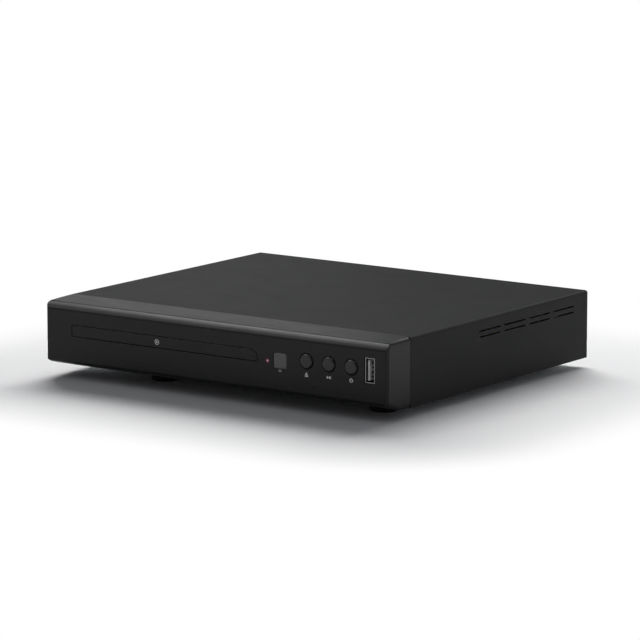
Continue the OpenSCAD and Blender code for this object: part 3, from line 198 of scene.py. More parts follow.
class Mixture:
    """A material being put together from nodes."""

    def __init__(self, name: str) -> None:
        """Start a material with one principled shader."""
        self.material = bpy.data.materials.new(name)
        self.material.use_nodes = True
        self.tree = self.material.node_tree
        self.tree.nodes.clear()
        self.shader = self.node("ShaderNodeBsdfPrincipled")
        surface = Wire(self, self.shader.outputs[0])
        self.result = self.node("ShaderNodeOutputMaterial", inputs={"Surface": surface})
        self.place = Wire(self, self.node("ShaderNodeTexCoord").outputs["Object"])
        self._relief: Wire | None = None

    def node(
        self,
        kind: str,
        settings: dict[str, Any] | None = None,
        inputs: dict[int | str, Any] | None = None,
    ) -> bpy.types.Node:
        """Add a node.

        Args:
            kind: The node's type.
            settings: Its properties, set first.
            inputs: Values or wires by the name or number of the socket.

        Returns:
            The new node.
        """
        made = self.tree.nodes.new(kind)
        for name, value in (settings or {}).items():
            setattr(made, name, value)
        for key, value in (inputs or {}).items():
            if isinstance(value, Wire):
                self.tree.links.new(value.socket, made.inputs[key])
            else:
                made.inputs[key].default_value = value
        return made

    def axes(self) -> tuple[Wire, Wire, Wire]:
        """The place on the piece as three separate values, in metres."""
        parts = self.node("ShaderNodeSeparateXYZ", inputs={0: self.place})
        return tuple(Wire(self, socket) for socket in parts.outputs)

    def stretched(self, scale: Sequence[float]) -> Wire:
        """The place with each axis scaled, for a grain that runs one way."""
        node = self.node("ShaderNodeVectorMath", {"operation": "MULTIPLY"}, {0: self.place, 1: tuple(scale)})
        return Wire(self, node.outputs[0])

    def noise(self, cell: float, detail: float, stretch: Sequence[float] = (1, 1, 1)) -> Wire:
        """Cloudy noise.

        Args:
            cell: The size of its cells in millimetres.
            detail: How many finer layers it has.
            stretch: A scale for each axis.

        Returns:
            A value around 0.5.
        """
        inputs = {
            "Vector": self.stretched(stretch),
            "Scale": 1.0 / (cell * MM),
            "Detail": detail,
            "Roughness": NOISE_FALLOFF,
        }
        return Wire(self, self.node("ShaderNodeTexNoise", inputs=inputs).outputs[0])

    def cells(self, cell: float, feature: str = "F1") -> Wire:
        """Distances inside a cell pattern.

        Args:
            cell: The size of a cell in millimetres.
            feature: Which distance, as the texture names it.

        Returns:
            The distance in cells.
        """
        inputs = {"Vector": self.place, "Scale": 1.0 / (cell * MM)}
        made = self.node("ShaderNodeTexVoronoi", {"feature": feature}, inputs)
        return Wire(self, made.outputs["Distance"])

    def blend(self, factor: Value, first: Colour | Wire, second: Colour | Wire) -> Wire:
        """Mix two colours.

        Args:
            factor: How much of the second shows.
            first: The colour at 0.
            second: The colour at 1.

        Returns:
            The mixed colour.
        """
        ends = [value if isinstance(value, Wire) else (*value, 1.0) for value in (first, second)]
        node = self.node("ShaderNodeMix", {"data_type": "RGBA"}, {0: factor, 6: ends[0], 7: ends[1]})
        return Wire(self, node.outputs[2])

    def shade(self, colour: Colour, spread: float, factor: Wire) -> Wire:
        """Vary a colour around itself.

        Args:
            colour: The middle colour.
            spread: By what share it gets darker and lighter.
            factor: Where it is dark (0) and light (1).

        Returns:
            The varied colour.
        """
        dark, light = (tuple(part * (1.0 + sign * spread) for part in colour) for sign in (-1, 1))
        return self.blend(factor, dark, light)

    def relief(self, height: Value, depth: float) -> None:
        """Add relief to the surface, over any that is there.

        Args:
            height: The height as a value between 0 and 1.
            depth: The height in millimetres that 1 stands for.
        """
        inputs = {"Height": height, "Distance": depth * MM, "Strength": 1.0}
        if self._relief is not None:
            inputs["Normal"] = self._relief
        self._relief = Wire(self, self.node("ShaderNodeBump", inputs=inputs).outputs[0])
        self.tree.links.new(self._relief.socket, self.shader.inputs["Normal"])

    def laid(self, name: str) -> Wire:
        """What already feeds a socket of the shader."""
        return Wire(self, self.shader.inputs[name].links[0].from_socket)

    def use(self, **values: Any) -> None:
        """Set sockets of the shader, with spaces in their names written as underscores."""
        for name, value in values.items():
            socket = self.shader.inputs[name.replace("_", " ")]
            if isinstance(value, Wire):
                self.tree.links.new(value.socket, socket)
            else:
                socket.default_value = (*value, 1.0) if isinstance(value, tuple) else value


@dataclass(frozen=True)
class Finish(ABC):
    """What a surface looks like.

    Attributes:
        colour: Its middle colour, as linear shares of red, green and blue.
        roughness: From 0 for a mirror to 1 for matt.
        spread: By what share the colour gets darker and lighter.
    """

    colour: Colour
    roughness: float = 0.5
    spread: float = 0.1

    def material(self, name: str) -> bpy.types.Material:
        """Make the finish as a material of that name."""
        mix = Mixture(name)
        self.lay(mix)
        return mix.material

    @abstractmethod
    def lay(self, mix: Mixture) -> None:
        """Put the finish into a mixture."""


@dataclass(frozen=True)
class Moulded(Finish):
    """Moulded plastic with a fine eroded grain and faint smears.

    Attributes:
        grain: The size of the grain in millimetres.
        depth: The depth of the grain in millimetres.
        gloss: How strongly it reflects.
        smear: How much the smears vary the roughness.
    """

    grain: float = 0.35
    depth: float = 0.012
    gloss: float = 0.5
    smear: float = 0.12

    def lay(self, mix: Mixture) -> None:
        """Put the plastic into a mixture."""
        cloud, fine = mix.noise(16.0, 3.0), mix.noise(self.grain, 2.0)
        smear = mix.noise(5.0, 3.0, (0.35, 1.0, 1.0))
        mix.use(
            Base_Color=mix.shade(self.colour, self.spread, 0.6 * cloud + 0.4 * fine),
            Roughness=self.roughness + self.smear * (smear - 0.5) + 0.06 * (fine - 0.5),
            Specular_IOR_Level=self.gloss,
        )
        mix.relief(fine, self.depth)


@dataclass(frozen=True)
class Powder(Finish):
    """Textured powder paint on sheet steel.

    Attributes:
        pebble: The size of its pebbles in millimetres.
        depth: Their height in millimetres.
        gloss: How strongly it reflects.
    """

    pebble: float = 0.55
    depth: float = 0.03
    gloss: float = 0.5

    def lay(self, mix: Mixture) -> None:
        """Put the paint into a mixture."""
        cloud, pebbles = mix.noise(22.0, 4.0), mix.cells(self.pebble, "SMOOTH_F1")
        grit = mix.noise(0.22, 1.0)
        mix.use(
            Base_Color=mix.shade(self.colour, self.spread, 0.5 * cloud + 0.5 * grit),
            Roughness=self.roughness + 0.1 * (cloud - 0.5) + 0.1 * (pebbles - 0.4),
            Specular_IOR_Level=self.gloss,
        )
        mix.relief(1.0 - pebbles, self.depth)
        mix.relief(grit, self.depth * 0.4)


@dataclass(frozen=True)
class Metal(Finish):
    """Bare or plated metal, brushed, rolled or turned along one axis.

    Attributes:
        grain: The axis that its lines run along.
        length: How much the lines are drawn out: a smaller value makes them longer.
        line: The width of a line in millimetres.
        depth: The depth of the lines in millimetres.
        spangle: How much of its tone comes from crystal patches, as on galvanised sheet.
    """

    grain: Axis = Axis.X
    length: float = 0.02
    line: float = 0.12
    depth: float = 0.004
    spangle: float = 0.0

    def lay(self, mix: Mixture) -> None:
        """Put the metal into a mixture."""
        run = [1.0, 1.0, 1.0]
        run[self.grain.value] = self.length
        lines, cloud = mix.noise(self.line, 3.0, run), mix.noise(7.0, 4.0)
        patches = mix.cells(5.0) if self.spangle else cloud
        ground = self.spangle * patches + (1 - self.spangle) * cloud
        mix.use(
            Base_Color=mix.shade(self.colour, self.spread, 0.4 * lines + 0.6 * ground),
            Metallic=1.0,
            Roughness=(self.roughness + 0.14 * (lines - 0.5) + 0.12 * (patches - 0.5)).most(0.05),
        )
        mix.relief(lines, self.depth)


@dataclass(frozen=True)
class Rubber(Finish):
    """Soft matt rubber with a dusty bloom."""

    def lay(self, mix: Mixture) -> None:
        """Put the rubber into a mixture."""
        cloud, fine = mix.noise(4.0, 5.0), mix.noise(0.25, 2.0)
        dusty = tuple(0.03 + part for part in self.colour)
        mix.use(
            Base_Color=mix.blend(0.5 * cloud.rise(0.45, 0.8), self.colour, dusty),
            Roughness=self.roughness + 0.14 * (cloud - 0.5),
            Specular_IOR_Level=0.35,
        )
        mix.relief(fine, 0.03)


@dataclass(frozen=True)
class Laminate(Finish):
    """A circuit board: solder mask over traces and a glass weave, with tinned pads.

    Attributes:
        trace: The colour of the mask over a trace.
        pads: How far the pads are apart, in millimetres.
        weave_rate: How fast the weave's wave turns, in radians for each metre.
        trace_rate: The same for the rows of traces.
        tin: The colour of the pads.
    """

    trace: Colour = (0.03, 0.2, 0.08)
    pads: float = 4.2
    weave_rate: float = 9000.0
    trace_rate: float = 780.0
    tin: Colour = (0.62, 0.62, 0.6)

    def rows(self, mix: Mixture, place: Wire, drift: float) -> Wire:
        """Rows of traces across one axis, bent by a noise with cells of that many millimetres."""
        wave = (place * self.trace_rate + mix.noise(drift, 0.0) * 9.0).sine()
        return abs(wave).rise(0.86, 0.94)

    def lay(self, mix: Mixture) -> None:
        """Put the board into a mixture."""
        x, y, _ = mix.axes()
        weave = (x * self.weave_rate).sine() * (y * self.weave_rate).sine() * 0.5 + 0.5
        choice = mix.noise(11.0, 0.0).rise(0.49, 0.51)
        traces = self.rows(mix, x, 14.0) * choice + self.rows(mix, y, 17.0) * (1.0 - choice)
        pads = mix.cells(self.pads).rise(0.17, 0.13) * mix.noise(19.0, 1.0).rise(0.5, 0.54)
        cloud = mix.noise(8.0, 3.0)
        bare = mix.shade(self.colour, self.spread, 0.6 * cloud + 0.4 * weave)
        mask = mix.blend(traces, bare, self.trace)
        mix.use(
            Base_Color=mix.blend(pads, mask, self.tin),
            Metallic=pads * 0.9,
            Roughness=self.roughness + 0.1 * (cloud - 0.5) - 0.1 * pads,
        )
        mix.relief(traces.most(pads), 0.035)
        mix.relief(weave, 0.006)


@dataclass(frozen=True)
class Wound(Finish):
    """Wound tape or wire: fine turns stacked along one axis.

    Attributes:
        along: The axis.
        pitch: The height of a turn in millimetres.
    """

    along: Axis = Axis.Z
    pitch: float = 0.35

    def lay(self, mix: Mixture) -> None:
        """Put the winding into a mixture."""
        place = mix.axes()[self.along.value]
        turns = abs((place * (math.pi / (self.pitch * MM)) + 0.8 * mix.noise(3.0, 1.0)).sine())
        cloud = mix.noise(5.0, 3.0)
        mix.use(
            Base_Color=mix.shade(self.colour, self.spread, 0.5 * turns + 0.5 * cloud),
            Roughness=self.roughness + 0.16 * (cloud - 0.5),
        )
        mix.relief(turns, self.pitch * 0.3)


@dataclass(frozen=True)
class Clear(Finish):
    """Tinted clear plastic or glass with a polished skin.

    Attributes:
        through: What share of the light passes through.
        coat: The strength of the polished skin.
    """

    through: float = 0.0
    coat: float = 0.5

    def lay(self, mix: Mixture) -> None:
        """Put the clear material into a mixture."""
        cloud, dust = mix.noise(6.0, 4.0), mix.noise(0.3, 2.0)
        mix.use(
            Base_Color=mix.shade(self.colour, self.spread, cloud),
            Roughness=self.roughness + 0.08 * dust.rise(0.55, 0.8),
            Transmission_Weight=self.through,
            Coat_Weight=self.coat,
            Coat_Roughness=0.04,
        )


@dataclass(frozen=True)
class LampLens(Clear):
    """A lit lens: pale in the middle and deep in colour towards its rim.

    Attributes:
        middle: The middle of the lens.
        core: The light's colour in the middle.
        rim: The light's colour at the rim.
        core_radius: How far from the middle the colour starts to change, in millimetres.
        rim_radius: Where it has changed, in millimetres.
    """

    middle: Vector = field(default_factory=Vector)
    core: Colour = (0.34, 0.17, 0.22)
    rim: Colour = (0.05, 0.004, 0.012)
    core_radius: float = 0.25
    rim_radius: float = 0.8

    def lay(self, mix: Mixture) -> None:
        """Put the lit lens into a mixture."""
        super().lay(mix)
        x, _, z = mix.axes()
        span = (x - self.middle.x).span(z - self.middle.z)
        deep = span.rise(self.core_radius * MM, self.rim_radius * MM)
        mix.use(Emission_Color=mix.blend(deep, self.core, self.rim), Emission_Strength=1.0)


@dataclass(frozen=True)
class Ink(Finish):
    """Screen-printed ink, slightly uneven."""

    def lay(self, mix: Mixture) -> None:
        """Put the ink into a mixture."""
        fine = mix.noise(0.12, 2.0)
        mix.use(
            Base_Color=mix.shade(self.colour, self.spread, fine),
            Roughness=self.roughness + 0.2 * (fine - 0.5),
            Specular_IOR_Level=0.3,
        )
        mix.relief(fine, 0.006)


@dataclass(frozen=True)
class FrontPlastic(Moulded):
    """The front's satin plastic, with the lamp's glow painted around its lens as emission, and a seam behind
    its upright corners.

    Lengths are in millimetres, places in metres.

    Attributes:
        lamp: The middle of the lamp's lens.
        lens: The radius where the glow is full, at the lens's edge.
        glow: The radius where it has gone.
        painted_glow: The colour of the painted glow where it is full: the lamp's light painted on the
            plastic as emission.
        low: The lowest corner of the front moulding.
        high: Its highest corner.
        seam_depth: How far behind the face the seam runs.
        seam_width: How far its edge lies from its middle.
        seam_floor: What share of that width is at full depth.
        seam_drop: The depth of the seam.
        seam_gloss: How much rougher the plastic is in the seam.
        seam_side: How far from the sides the seam starts to show, and where it shows in full.
        turn: How far below the top edge the seam starts to lean back.
        lean: How far it has leaned back at the top edge, as a share of turn.
    """

    lamp: Vector = field(default_factory=Vector)
    lens: float = 0.9
    glow: float = 2.5
    painted_glow: Colour = (0.02, 0.0, 0.004)
    low: Vector = field(default_factory=Vector)
    high: Vector = field(default_factory=Vector)
    seam_depth: float = 1.5
    seam_width: float = 0.42
    seam_floor: float = 0.35
    seam_drop: float = 0.25
    seam_gloss: float = 0.6
    seam_side: tuple[float, float] = (4.5, 3.5)
    turn: float = 4.5
    lean: float = 0.8

    def lay(self, mix: Mixture) -> None:
        """Put the front's plastic into a mixture."""
        super().lay(mix)
        self.light(mix)
        self.seam(mix)

    def light(self, mix: Mixture) -> None:
        """Paint the lamp's glow on the plastic around its lens as emission: painted light, not a lamp of its
        own.
        """
        x, _, z = mix.axes()
        near = (x - self.lamp.x).span(z - self.lamp.z).rise(self.glow * MM, self.lens * MM)
        # painted light: the lamp's glow on the plastic, an emission colour that fades out with distance from
        # the lens
        mix.use(Emission_Color=mix.blend(near * near, (0.0, 0.0, 0.0), self.painted_glow), Emission_Strength=1.0)

    def seam(self, mix: Mixture) -> None:
        """Draw the seam behind both upright corners, leaning back towards the top edge."""
        x, y, z = mix.axes()
        middle, half = (self.low.x + self.high.x) / 2, (self.high.x - self.low.x) / 2
        climb = (z - self.high.z + self.turn * MM).most(0.0)
        back = climb * climb * (self.lean / (self.turn * MM))
        line = abs(y - self.low.y - self.seam_depth * MM - back)
        sides = abs(x - middle).rise(*(half - place * MM for place in self.seam_side))
        groove = line.rise(self.seam_width * MM, self.seam_floor * self.seam_width * MM) * sides
        mix.use(Roughness=mix.laid("Roughness") + self.seam_gloss * groove)
        mix.relief(1.0 - groove, self.seam_drop)


# Shapes --------------------------------------------------------------------------------------------


class Blank:
    """A mesh being worked with bmesh operators."""

    def __init__(self, mesh: bmesh.types.BMesh | None = None) -> None:
        """Start with a mesh, or with nothing."""
        self.mesh = bmesh.new() if mesh is None else mesh

    def box(self, low: Sequence[float], high: Sequence[float]) -> None:
        """Add a block between its lowest and its highest corner."""
        low, high = Vector(low), Vector(high)
        place = Matrix.Translation((low + high) / 2) @ Matrix.Diagonal((*(high - low), 1.0))
        bmesh.ops.create_cube(self.mesh, size=1.0, matrix=place)

    def turned(
        self, centre: Sequence[float], axis: Axis, profile: Sequence[tuple[float, float]], steps: int
    ) -> None:
        """Add a shape turned about an axis.

        Args:
            centre: A point on the axis.
            axis: The axis.
            profile: (radius, place along the axis) from one end to the other.
            steps: Segments round the axis.
        """
        centre = Vector(centre)
        side = Axis.X.vector if axis is not Axis.X else Axis.Y.vector
        line = [
            self.mesh.verts.new(centre + side * radius + axis.vector * along) for radius, along in profile
        ]
        edges = [self.mesh.edges.new(pair) for pair in zip(line, line[1:])]
        bmesh.ops.spin(
            self.mesh,
            geom=line + edges,
            cent=centre,
            axis=axis.vector,
            dvec=(0, 0, 0),
            angle=math.tau,
            steps=steps,
            use_merge=True,
        )

    def prism(
        self, centre: Sequence[float], axis: Axis, radius: float, depth: float, sides: int, turn: float
    ) -> None:
        """Add a prism with equal sides.

        Args:
            centre: The middle of the prism.
            axis: The direction of its depth.
            radius: From its middle to a corner.
            depth: Its depth.
            sides: How many sides.
            turn: How far it is turned about its own axis, in degrees.
        """
        stand = axis.vector.to_track_quat("Z", "Y").to_matrix().to_4x4()
        bmesh.ops.create_cone(
            self.mesh,
            cap_ends=True,
            segments=sides,
            radius1=radius,
            radius2=radius,
            depth=depth,
            matrix=Matrix.Translation(Vector(centre)) @ stand @ Matrix.Rotation(math.radians(turn), 4, "Z"),
        )

    def object(self, name: str, smooth: float = 35.0) -> bpy.types.Object:
        """Close the mesh and make it an object.

        Args:
            name: The name of the object.
            smooth: Edges sharper than this many degrees stay crisp.

        Returns:
            The object, linked to the scene.
        """
        bmesh.ops.remove_doubles(self.mesh, verts=self.mesh.verts[:], dist=NEW_WELD)
        bmesh.ops.recalc_face_normals(self.mesh, faces=self.mesh.faces[:])
        return self.link(name, smooth)

    def link(self, name: str, smooth: float) -> bpy.types.Object:
        """Make the mesh an object as it is, with its crisp edges marked.

        Args:
            name: The name of the object.
            smooth: Edges sharper than this many degrees stay crisp.

        Returns:
            The object, linked to the scene.
        """
        for face in self.mesh.faces:
            face.smooth = True
        for line in self.mesh.edges:
            line.smooth = len(line.link_faces) == 2 and line.calc_face_angle(0.0) < math.radians(smooth)
        data = bpy.data.meshes.new(name)
        self.mesh.to_mesh(data)
        self.mesh.free()
        made = bpy.data.objects.new(name, data)
        bpy.context.scene.collection.objects.link(made)
        return made


@dataclass
class Workshop:
    """The loaded frame with the finishes, and what every sub-assembly makes its pieces with.

    Attributes:
        finishes: Every finish by its name.
        made: The materials made so far.
    """

    frame: dict[str, Any]
    finishes: dict[str, Finish]
    made: dict[str, bpy.types.Material] = field(default_factory=dict)

    def material(self, name: str) -> bpy.types.Material:
        """The material of a finish, made once."""
        if name not in self.made:
            self.made[name] = self.finishes[name].material(name)
        return self.made[name]

    def body_of(self, node: str) -> str:
        """The body that a CAD node belongs to."""
        bodies = self.frame["record"]["behaviour"]["bodies"]
        return next(body for body, members in bodies.items() if node in members)

    def slot_of(self, node: str) -> str:
        """The material slot that the record gives a CAD node."""
        subparts = self.frame["record"]["subparts"]
        return next(part["material_slot"] for part in subparts if part["node"] == node)

    def fit(
        self,
        piece: bpy.types.Object,
        like: str,
        finish: str = "",
        replaces: Sequence[str] = (),
        slot: str = "",
    ) -> None:
        """Give a new piece its body and its finish, which is its slot's own unless another is named.

        Args:
            piece: The new piece.
            like: The CAD node whose body it takes, and whose slot gives its finish if no other is named.
            finish: The name of its finish, or nothing for the slot's own.
            replaces: The CAD nodes that it stands for.
            slot: The record's slot, if it isn't the node's.
        """
        slot = slot or self.slot_of(like)
        piece.data.materials.clear()
        piece.data.materials.append(self.material(finish or slot))
        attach(piece, self.body_of(like))
        if replaces:
            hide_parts(*replaces)
        LOG.info("%s on %s, %d faces", piece.name, self.body_of(like), len(piece.data.polygons))

    def dress(self, *nodes: str) -> None:
        """Give CAD nodes the finish of their slot as they are."""
        for node in nodes:
            for place in self.frame["nodes"][node].material_slots:
                place.material = self.material(self.slot_of(node))
            LOG.info("%s keeps its CAD mesh", node)

    def merged(self, node: str) -> bmesh.types.BMesh:
        """A copy of a CAD node's mesh with its triangles joined and its flats cleared of edges."""
        mesh = bmesh.new()
        mesh.from_mesh(self.frame["nodes"][node].data)
        bmesh.ops.remove_doubles(mesh, verts=mesh.verts[:], dist=CAD_WELD)
        bmesh.ops.dissolve_limit(
            mesh,
            angle_limit=math.radians(FLAT),
            use_dissolve_boundaries=False,
            verts=mesh.verts[:],
            edges=mesh.edges[:],
        )
        return mesh

    def refine(self, node: str, edge: float) -> None:
        """Make the shown form of a CAD node: the same shape with eased edges and smooth curves.

        Args:
            node: The CAD node.
            edge: How far its edges are eased, in millimetres.
        """
        piece = Blank(self.merged(node)).link(f"{node}_skin", CRISP)
        ease = piece.modifiers.new("Eased edges", "BEVEL")
        ease.width = edge * MM
        ease.segments = 2
        ease.limit_method = "ANGLE"
        ease.angle_limit = math.radians(CRISP)
        ease.harden_normals = False
        ease.use_clamp_overlap = True
        even = piece.modifiers.new("Even shading", "WEIGHTED_NORMAL")
        even.mode = "FACE_AREA"
        even.weight = 50
        even.keep_sharp = False
        self.fit(piece, node, replaces=(node,))


# Printed signs -------------------------------------------------------------------------------------


class Shape(ABC):
    """One shape of a printed sign, in millimetres from the middle of the sign."""

    @abstractmethod
    def add(self, blank: Blank, middle: Vector) -> None:
        """Add the shape to a sign whose middle is given in metres."""


@dataclass(frozen=True)
class Bar(Shape):
    """A bar: how far it is to the right and up, its width and its height."""

    across: float
    up: float
    width: float
    height: float

    def add(self, blank: Blank, middle: Vector) -> None:
        """Add the bar to a sign."""
        x, z = middle.x + self.across * MM, middle.z + self.up * MM
        width, height = self.width * MM, self.height * MM
        low, high = middle.y - INK_DEPTH, middle.y + INK_DEPTH
        blank.box((x - width / 2, low, z - height / 2), (x + width / 2, high, z + height / 2))


@dataclass(frozen=True)
class Ring(Shape):
    """A ring round the middle, or a dot: its outer and its inner radius."""

    outer: float
    inner: float = 0.0

    def add(self, blank: Blank, middle: Vector) -> None:
        """Add the ring to a sign."""
        inner, outer = self.inner * MM, self.outer * MM
        low, high = middle.y - INK_DEPTH, middle.y + INK_DEPTH
        profile = [(inner, low), (outer, low), (outer, high), (inner, high), (inner, low)]
        blank.turned((middle.x, 0.0, middle.z), Axis.Y, profile, steps=32)


@dataclass(frozen=True)
class Arrow(Shape):
    """A triangle: how far it is to the right and up, its radius, and how far it is turned from upright."""

    across: float
    up: float
    radius: float
    turn: float = 0.0

    def add(self, blank: Blank, middle: Vector) -> None:
        """Add the triangle to a sign."""
        place = (middle.x + self.across * MM, middle.y, middle.z + self.up * MM)
        blank.prism(place, Axis.Y, self.radius * MM, 2 * INK_DEPTH, sides=3, turn=self.turn)


@dataclass(frozen=True)
class Sign:
    """A printed sign.

    Attributes:
        name: The name of its piece.
        shapes: What it is made of.
        ink: The name of its ink.
    """

    name: str
    shapes: tuple[Shape, ...]
    ink: str = "ink_white"

    def print(self, shop: Workshop, node: str, middle: Vector) -> None:
        """Print the sign on a CAD node, with its middle at a point on the node's face."""
        blank = Blank()
        for shape in self.shapes:
            shape.add(blank, middle)
        shop.fit(blank.object(self.name), node, self.ink, slot="audio_white")


# Sub-assemblies ------------------------------------------------------------------------------------


@dataclass
class SubAssembly:
    """Pieces of the player that are made together.

    Attributes:
        shop: What the pieces are made with.
        eased: The CAD nodes that get a shown form, and how far its edges are eased in millimetres.
        plain: The CAD nodes that are shown as they are.
    """

    shop: Workshop
    eased: ClassVar[dict[str, float]] = {}
    plain: ClassVar[tuple[str, ...]] = ()

    def build(self) -> None:
        """Make every piece."""
        for node, edge in self.eased.items():
            self.shop.refine(node, edge)
        self.shop.dress(*self.plain)


class Case(SubAssembly):
    """Cover, chassis, rear panel, front moulding, feet and screws."""

    eased = {
        "front_bezel": 0.1,
        "top_cover": 0.12,
        "rear_panel": 0.08,
        "bottom_chassis": 0.1,
        "rubber_feet": 0.25,
        "case_screws": 0.05,
    }


@dataclass
class Controls(SubAssembly):
    """Buttons, printed signs, lamp, window, USB socket and the board behind them.

    Attributes:
        buttons: The CAD nodes of the buttons.
        signs: The sign under each CAD node.
        drop: How far the signs are below the middle of the eject button.
        rim: The radius of a cap's rounded rim.
        dome: How far the middle of a cap stands proud of its rim.
        rings: How many steps the crown has from a cap's middle to its edge.
        quarter: How many steps the rounded rim has.
        flange_reach: How far a cap's flange reaches past the cap.
        flange_back: How far the flange is behind the front's face.
        flange_thick: The flange's thickness.
        stem: The radius of a cap's stem.
    """

    eased = {
        "ir_window": 0.15,
        "led_lens": 0.1,
        "usb_shell": 0.06,
        "usb_tongue": 0.12,
        "usb_contacts": 0.04,
    }
    plain = ("front_board", "tact_switches", "ir_receiver")
    buttons: ClassVar[tuple[str, ...]] = ("eject_button", "play_button", "power_button")
    signs: ClassVar[dict[str, Sign]] = {
        "eject_button": Sign("eject_mark", (Arrow(0.0, 0.15, 1.2), Bar(0.0, -0.95, 2.1, 0.55))),
        "play_button": Sign(
            "play_mark",
            (Arrow(-0.75, 0.0, 1.0, 90.0), Bar(0.5, 0.0, 0.42, 1.55), Bar(1.15, 0.0, 0.42, 1.55)),
        ),
        "power_button": Sign("power_mark", (Ring(1.1, 0.65), Bar(0.0, 0.8, 0.4, 1.0))),
        "ir_window": Sign(
            "window_mark",
            (Bar(-0.8, 0.0, 0.5, 1.06), Bar(0.0, 0.0, 0.5, 1.7), Bar(0.8, 0.0, 0.5, 1.06)),
            "ink_grey",
        ),
    }
    drop: float = 7.0 * MM
    rim: float = 0.9 * MM
    dome: float = 0.12 * MM
    rings: int = 5
    quarter: int = 6
    flange_reach: float = 1.0 * MM
    flange_back: float = 2.2 * MM
    flange_thick: float = 0.9 * MM
    stem: float = 1.8 * MM

    def build(self) -> None:
        """Make every piece of the controls."""
        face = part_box("front_bezel")[0].y
        for node in self.buttons:
            self.cap(node, face)
        line = self.middle("eject_button").z - self.drop
        for node, sign in self.signs.items():
            sign.print(self.shop, "front_bezel", Vector((self.middle(node).x, face, line)))
        super().build()

    def middle(self, node: str) -> Vector:
        """The middle of a node's box."""
        low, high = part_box(node)
        return (low + high) / 2

    def cap(self, node: str, face: float) -> None:
        """Turn one button: a slightly crowned face, a rounded rim, a flange and a stem.

        Args:
            node: The CAD node of the button.
            face: Where the front's face is.
        """
        low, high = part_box(node)
        flange = (high.x - low.x) / 2
        radius = flange - self.flange_reach
        shares = [ring / self.rings for ring in range(1, self.rings)]
        crown = [(radius * share, low.y + self.dome * share**2) for share in shares]
        arc = [math.radians(90.0 * step / self.quarter) for step in range(self.quarter + 1)]
        corner, rim = radius - self.rim, low.y + self.dome + self.rim
        rounding = [(corner + self.rim * math.sin(turn), rim - self.rim * math.cos(turn)) for turn in arc]
        front = face + self.flange_back
        back = front + self.flange_thick
        behind = [(radius, front), (flange, front), (flange, back)]
        stem = [(self.stem, back), (self.stem, high.y), (0.0, high.y)]
        profile = [(0.0, low.y), *crown, *rounding, *behind, *stem]
        middle, blank = self.middle(node), Blank()
        blank.turned((middle.x, 0.0, middle.z), Axis.Y, profile, steps=56)
        self.shop.fit(blank.object(f"{node}_cap", smooth=40.0), node, replaces=(node,))


@dataclass
class Tray(SubAssembly):
    """The disc tray and its door.

    Attributes:
        sign: The sign on the door.
        place: Where the sign is, as a share of the door's width from its left end.
    """

    eased = {"tray_door": 0.1, "disc_tray": 0.12}
    sign: ClassVar[Sign] = Sign("door_mark", (Ring(1.5, 1.1), Ring(0.55)))
    place: float = 0.466

    def build(self) -> None:
        """Make the tray's pieces and print the sign on the door."""
        super().build()
        low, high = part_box("tray_door")
        x = low.x + self.place * (high.x - low.x)
        self.sign.print(self.shop, "tray_door", Vector((x, low.y, (low.z + high.z) / 2)))


class Loader(SubAssembly):
    """The frame that carries the tray, with its motor, belt, wheels, slider and disc clamp."""

    eased = {
        "loader_frame": 0.1,
        "clamp_bridge": 0.08,
        "clamp_puck": 0.2,
        "tray_motor": 0.15,
        **dict.fromkeys(("motor_pulley", "belt_gear", "drive_gear", "cam_slider"), 0.06),
    }
    plain = ("drive_belt",)


class DriveUnit(SubAssembly):
    """The plate with the disc motor, turntable, guide rods, pickup and sled drive."""

    eased = {
        **dict.fromkeys(("traverse_frame", "spindle_rotor", "turntable", "guide_rods"), 0.1),
        **dict.fromkeys(("sled_motor", "objective_lens"), 0.1),
        "pickup_sled": 0.12,
        "spindle_stator": 0.05,
        **dict.fromkeys(("sled_gear", "sled_pinion"), 0.03),
    }


class Boards(SubAssembly):
    """The main, power and jack boards with what stands on them."""

    eased = {
        **dict.fromkeys(("board_chips", "board_capacitors", "board_connectors"), 0.12),
        **dict.fromkeys(("transformer", "power_capacitors", "heatsink", "fuse"), 0.12),
    }
    plain = ("main_board", "power_board", "jack_board", "inner_screws", "ribbon_cables")


class Sockets(SubAssembly):
    """The mains inlet, the phono sockets and the HDMI socket on the rear panel."""

    eased = {
        "inlet_housing": 0.15,
        "inlet_pins": 0.2,
        "rca_housing": 0.15,
        "rca_shells": 0.1,
        **dict.fromkeys(("coax_insert", "video_insert", "left_insert", "right_insert"), 0.1),
        "hdmi_socket": 0.08,
    }


# Studio --------------------------------------------------------------------------------------------


class Reach(Enum):
    """What a lamp lights: only what surfaces scatter, or only their reflections."""

    SCATTER = (True, False)
    SHINE = (False, True)


@dataclass(frozen=True)
class Lamp:
    """A soft lamp that faces the player.

    Attributes:
        name: Its name.
        place: Where its middle is, in metres.
        size: Its width and its height in metres.
        power: Its power in watts.
        reach: What it lights.
        along: The axis that its height follows as nearly as it can.
    """

    name: str
    place: tuple[float, float, float]
    size: tuple[float, float]
    power: float
    reach: Reach
    along: Axis = Axis.Z


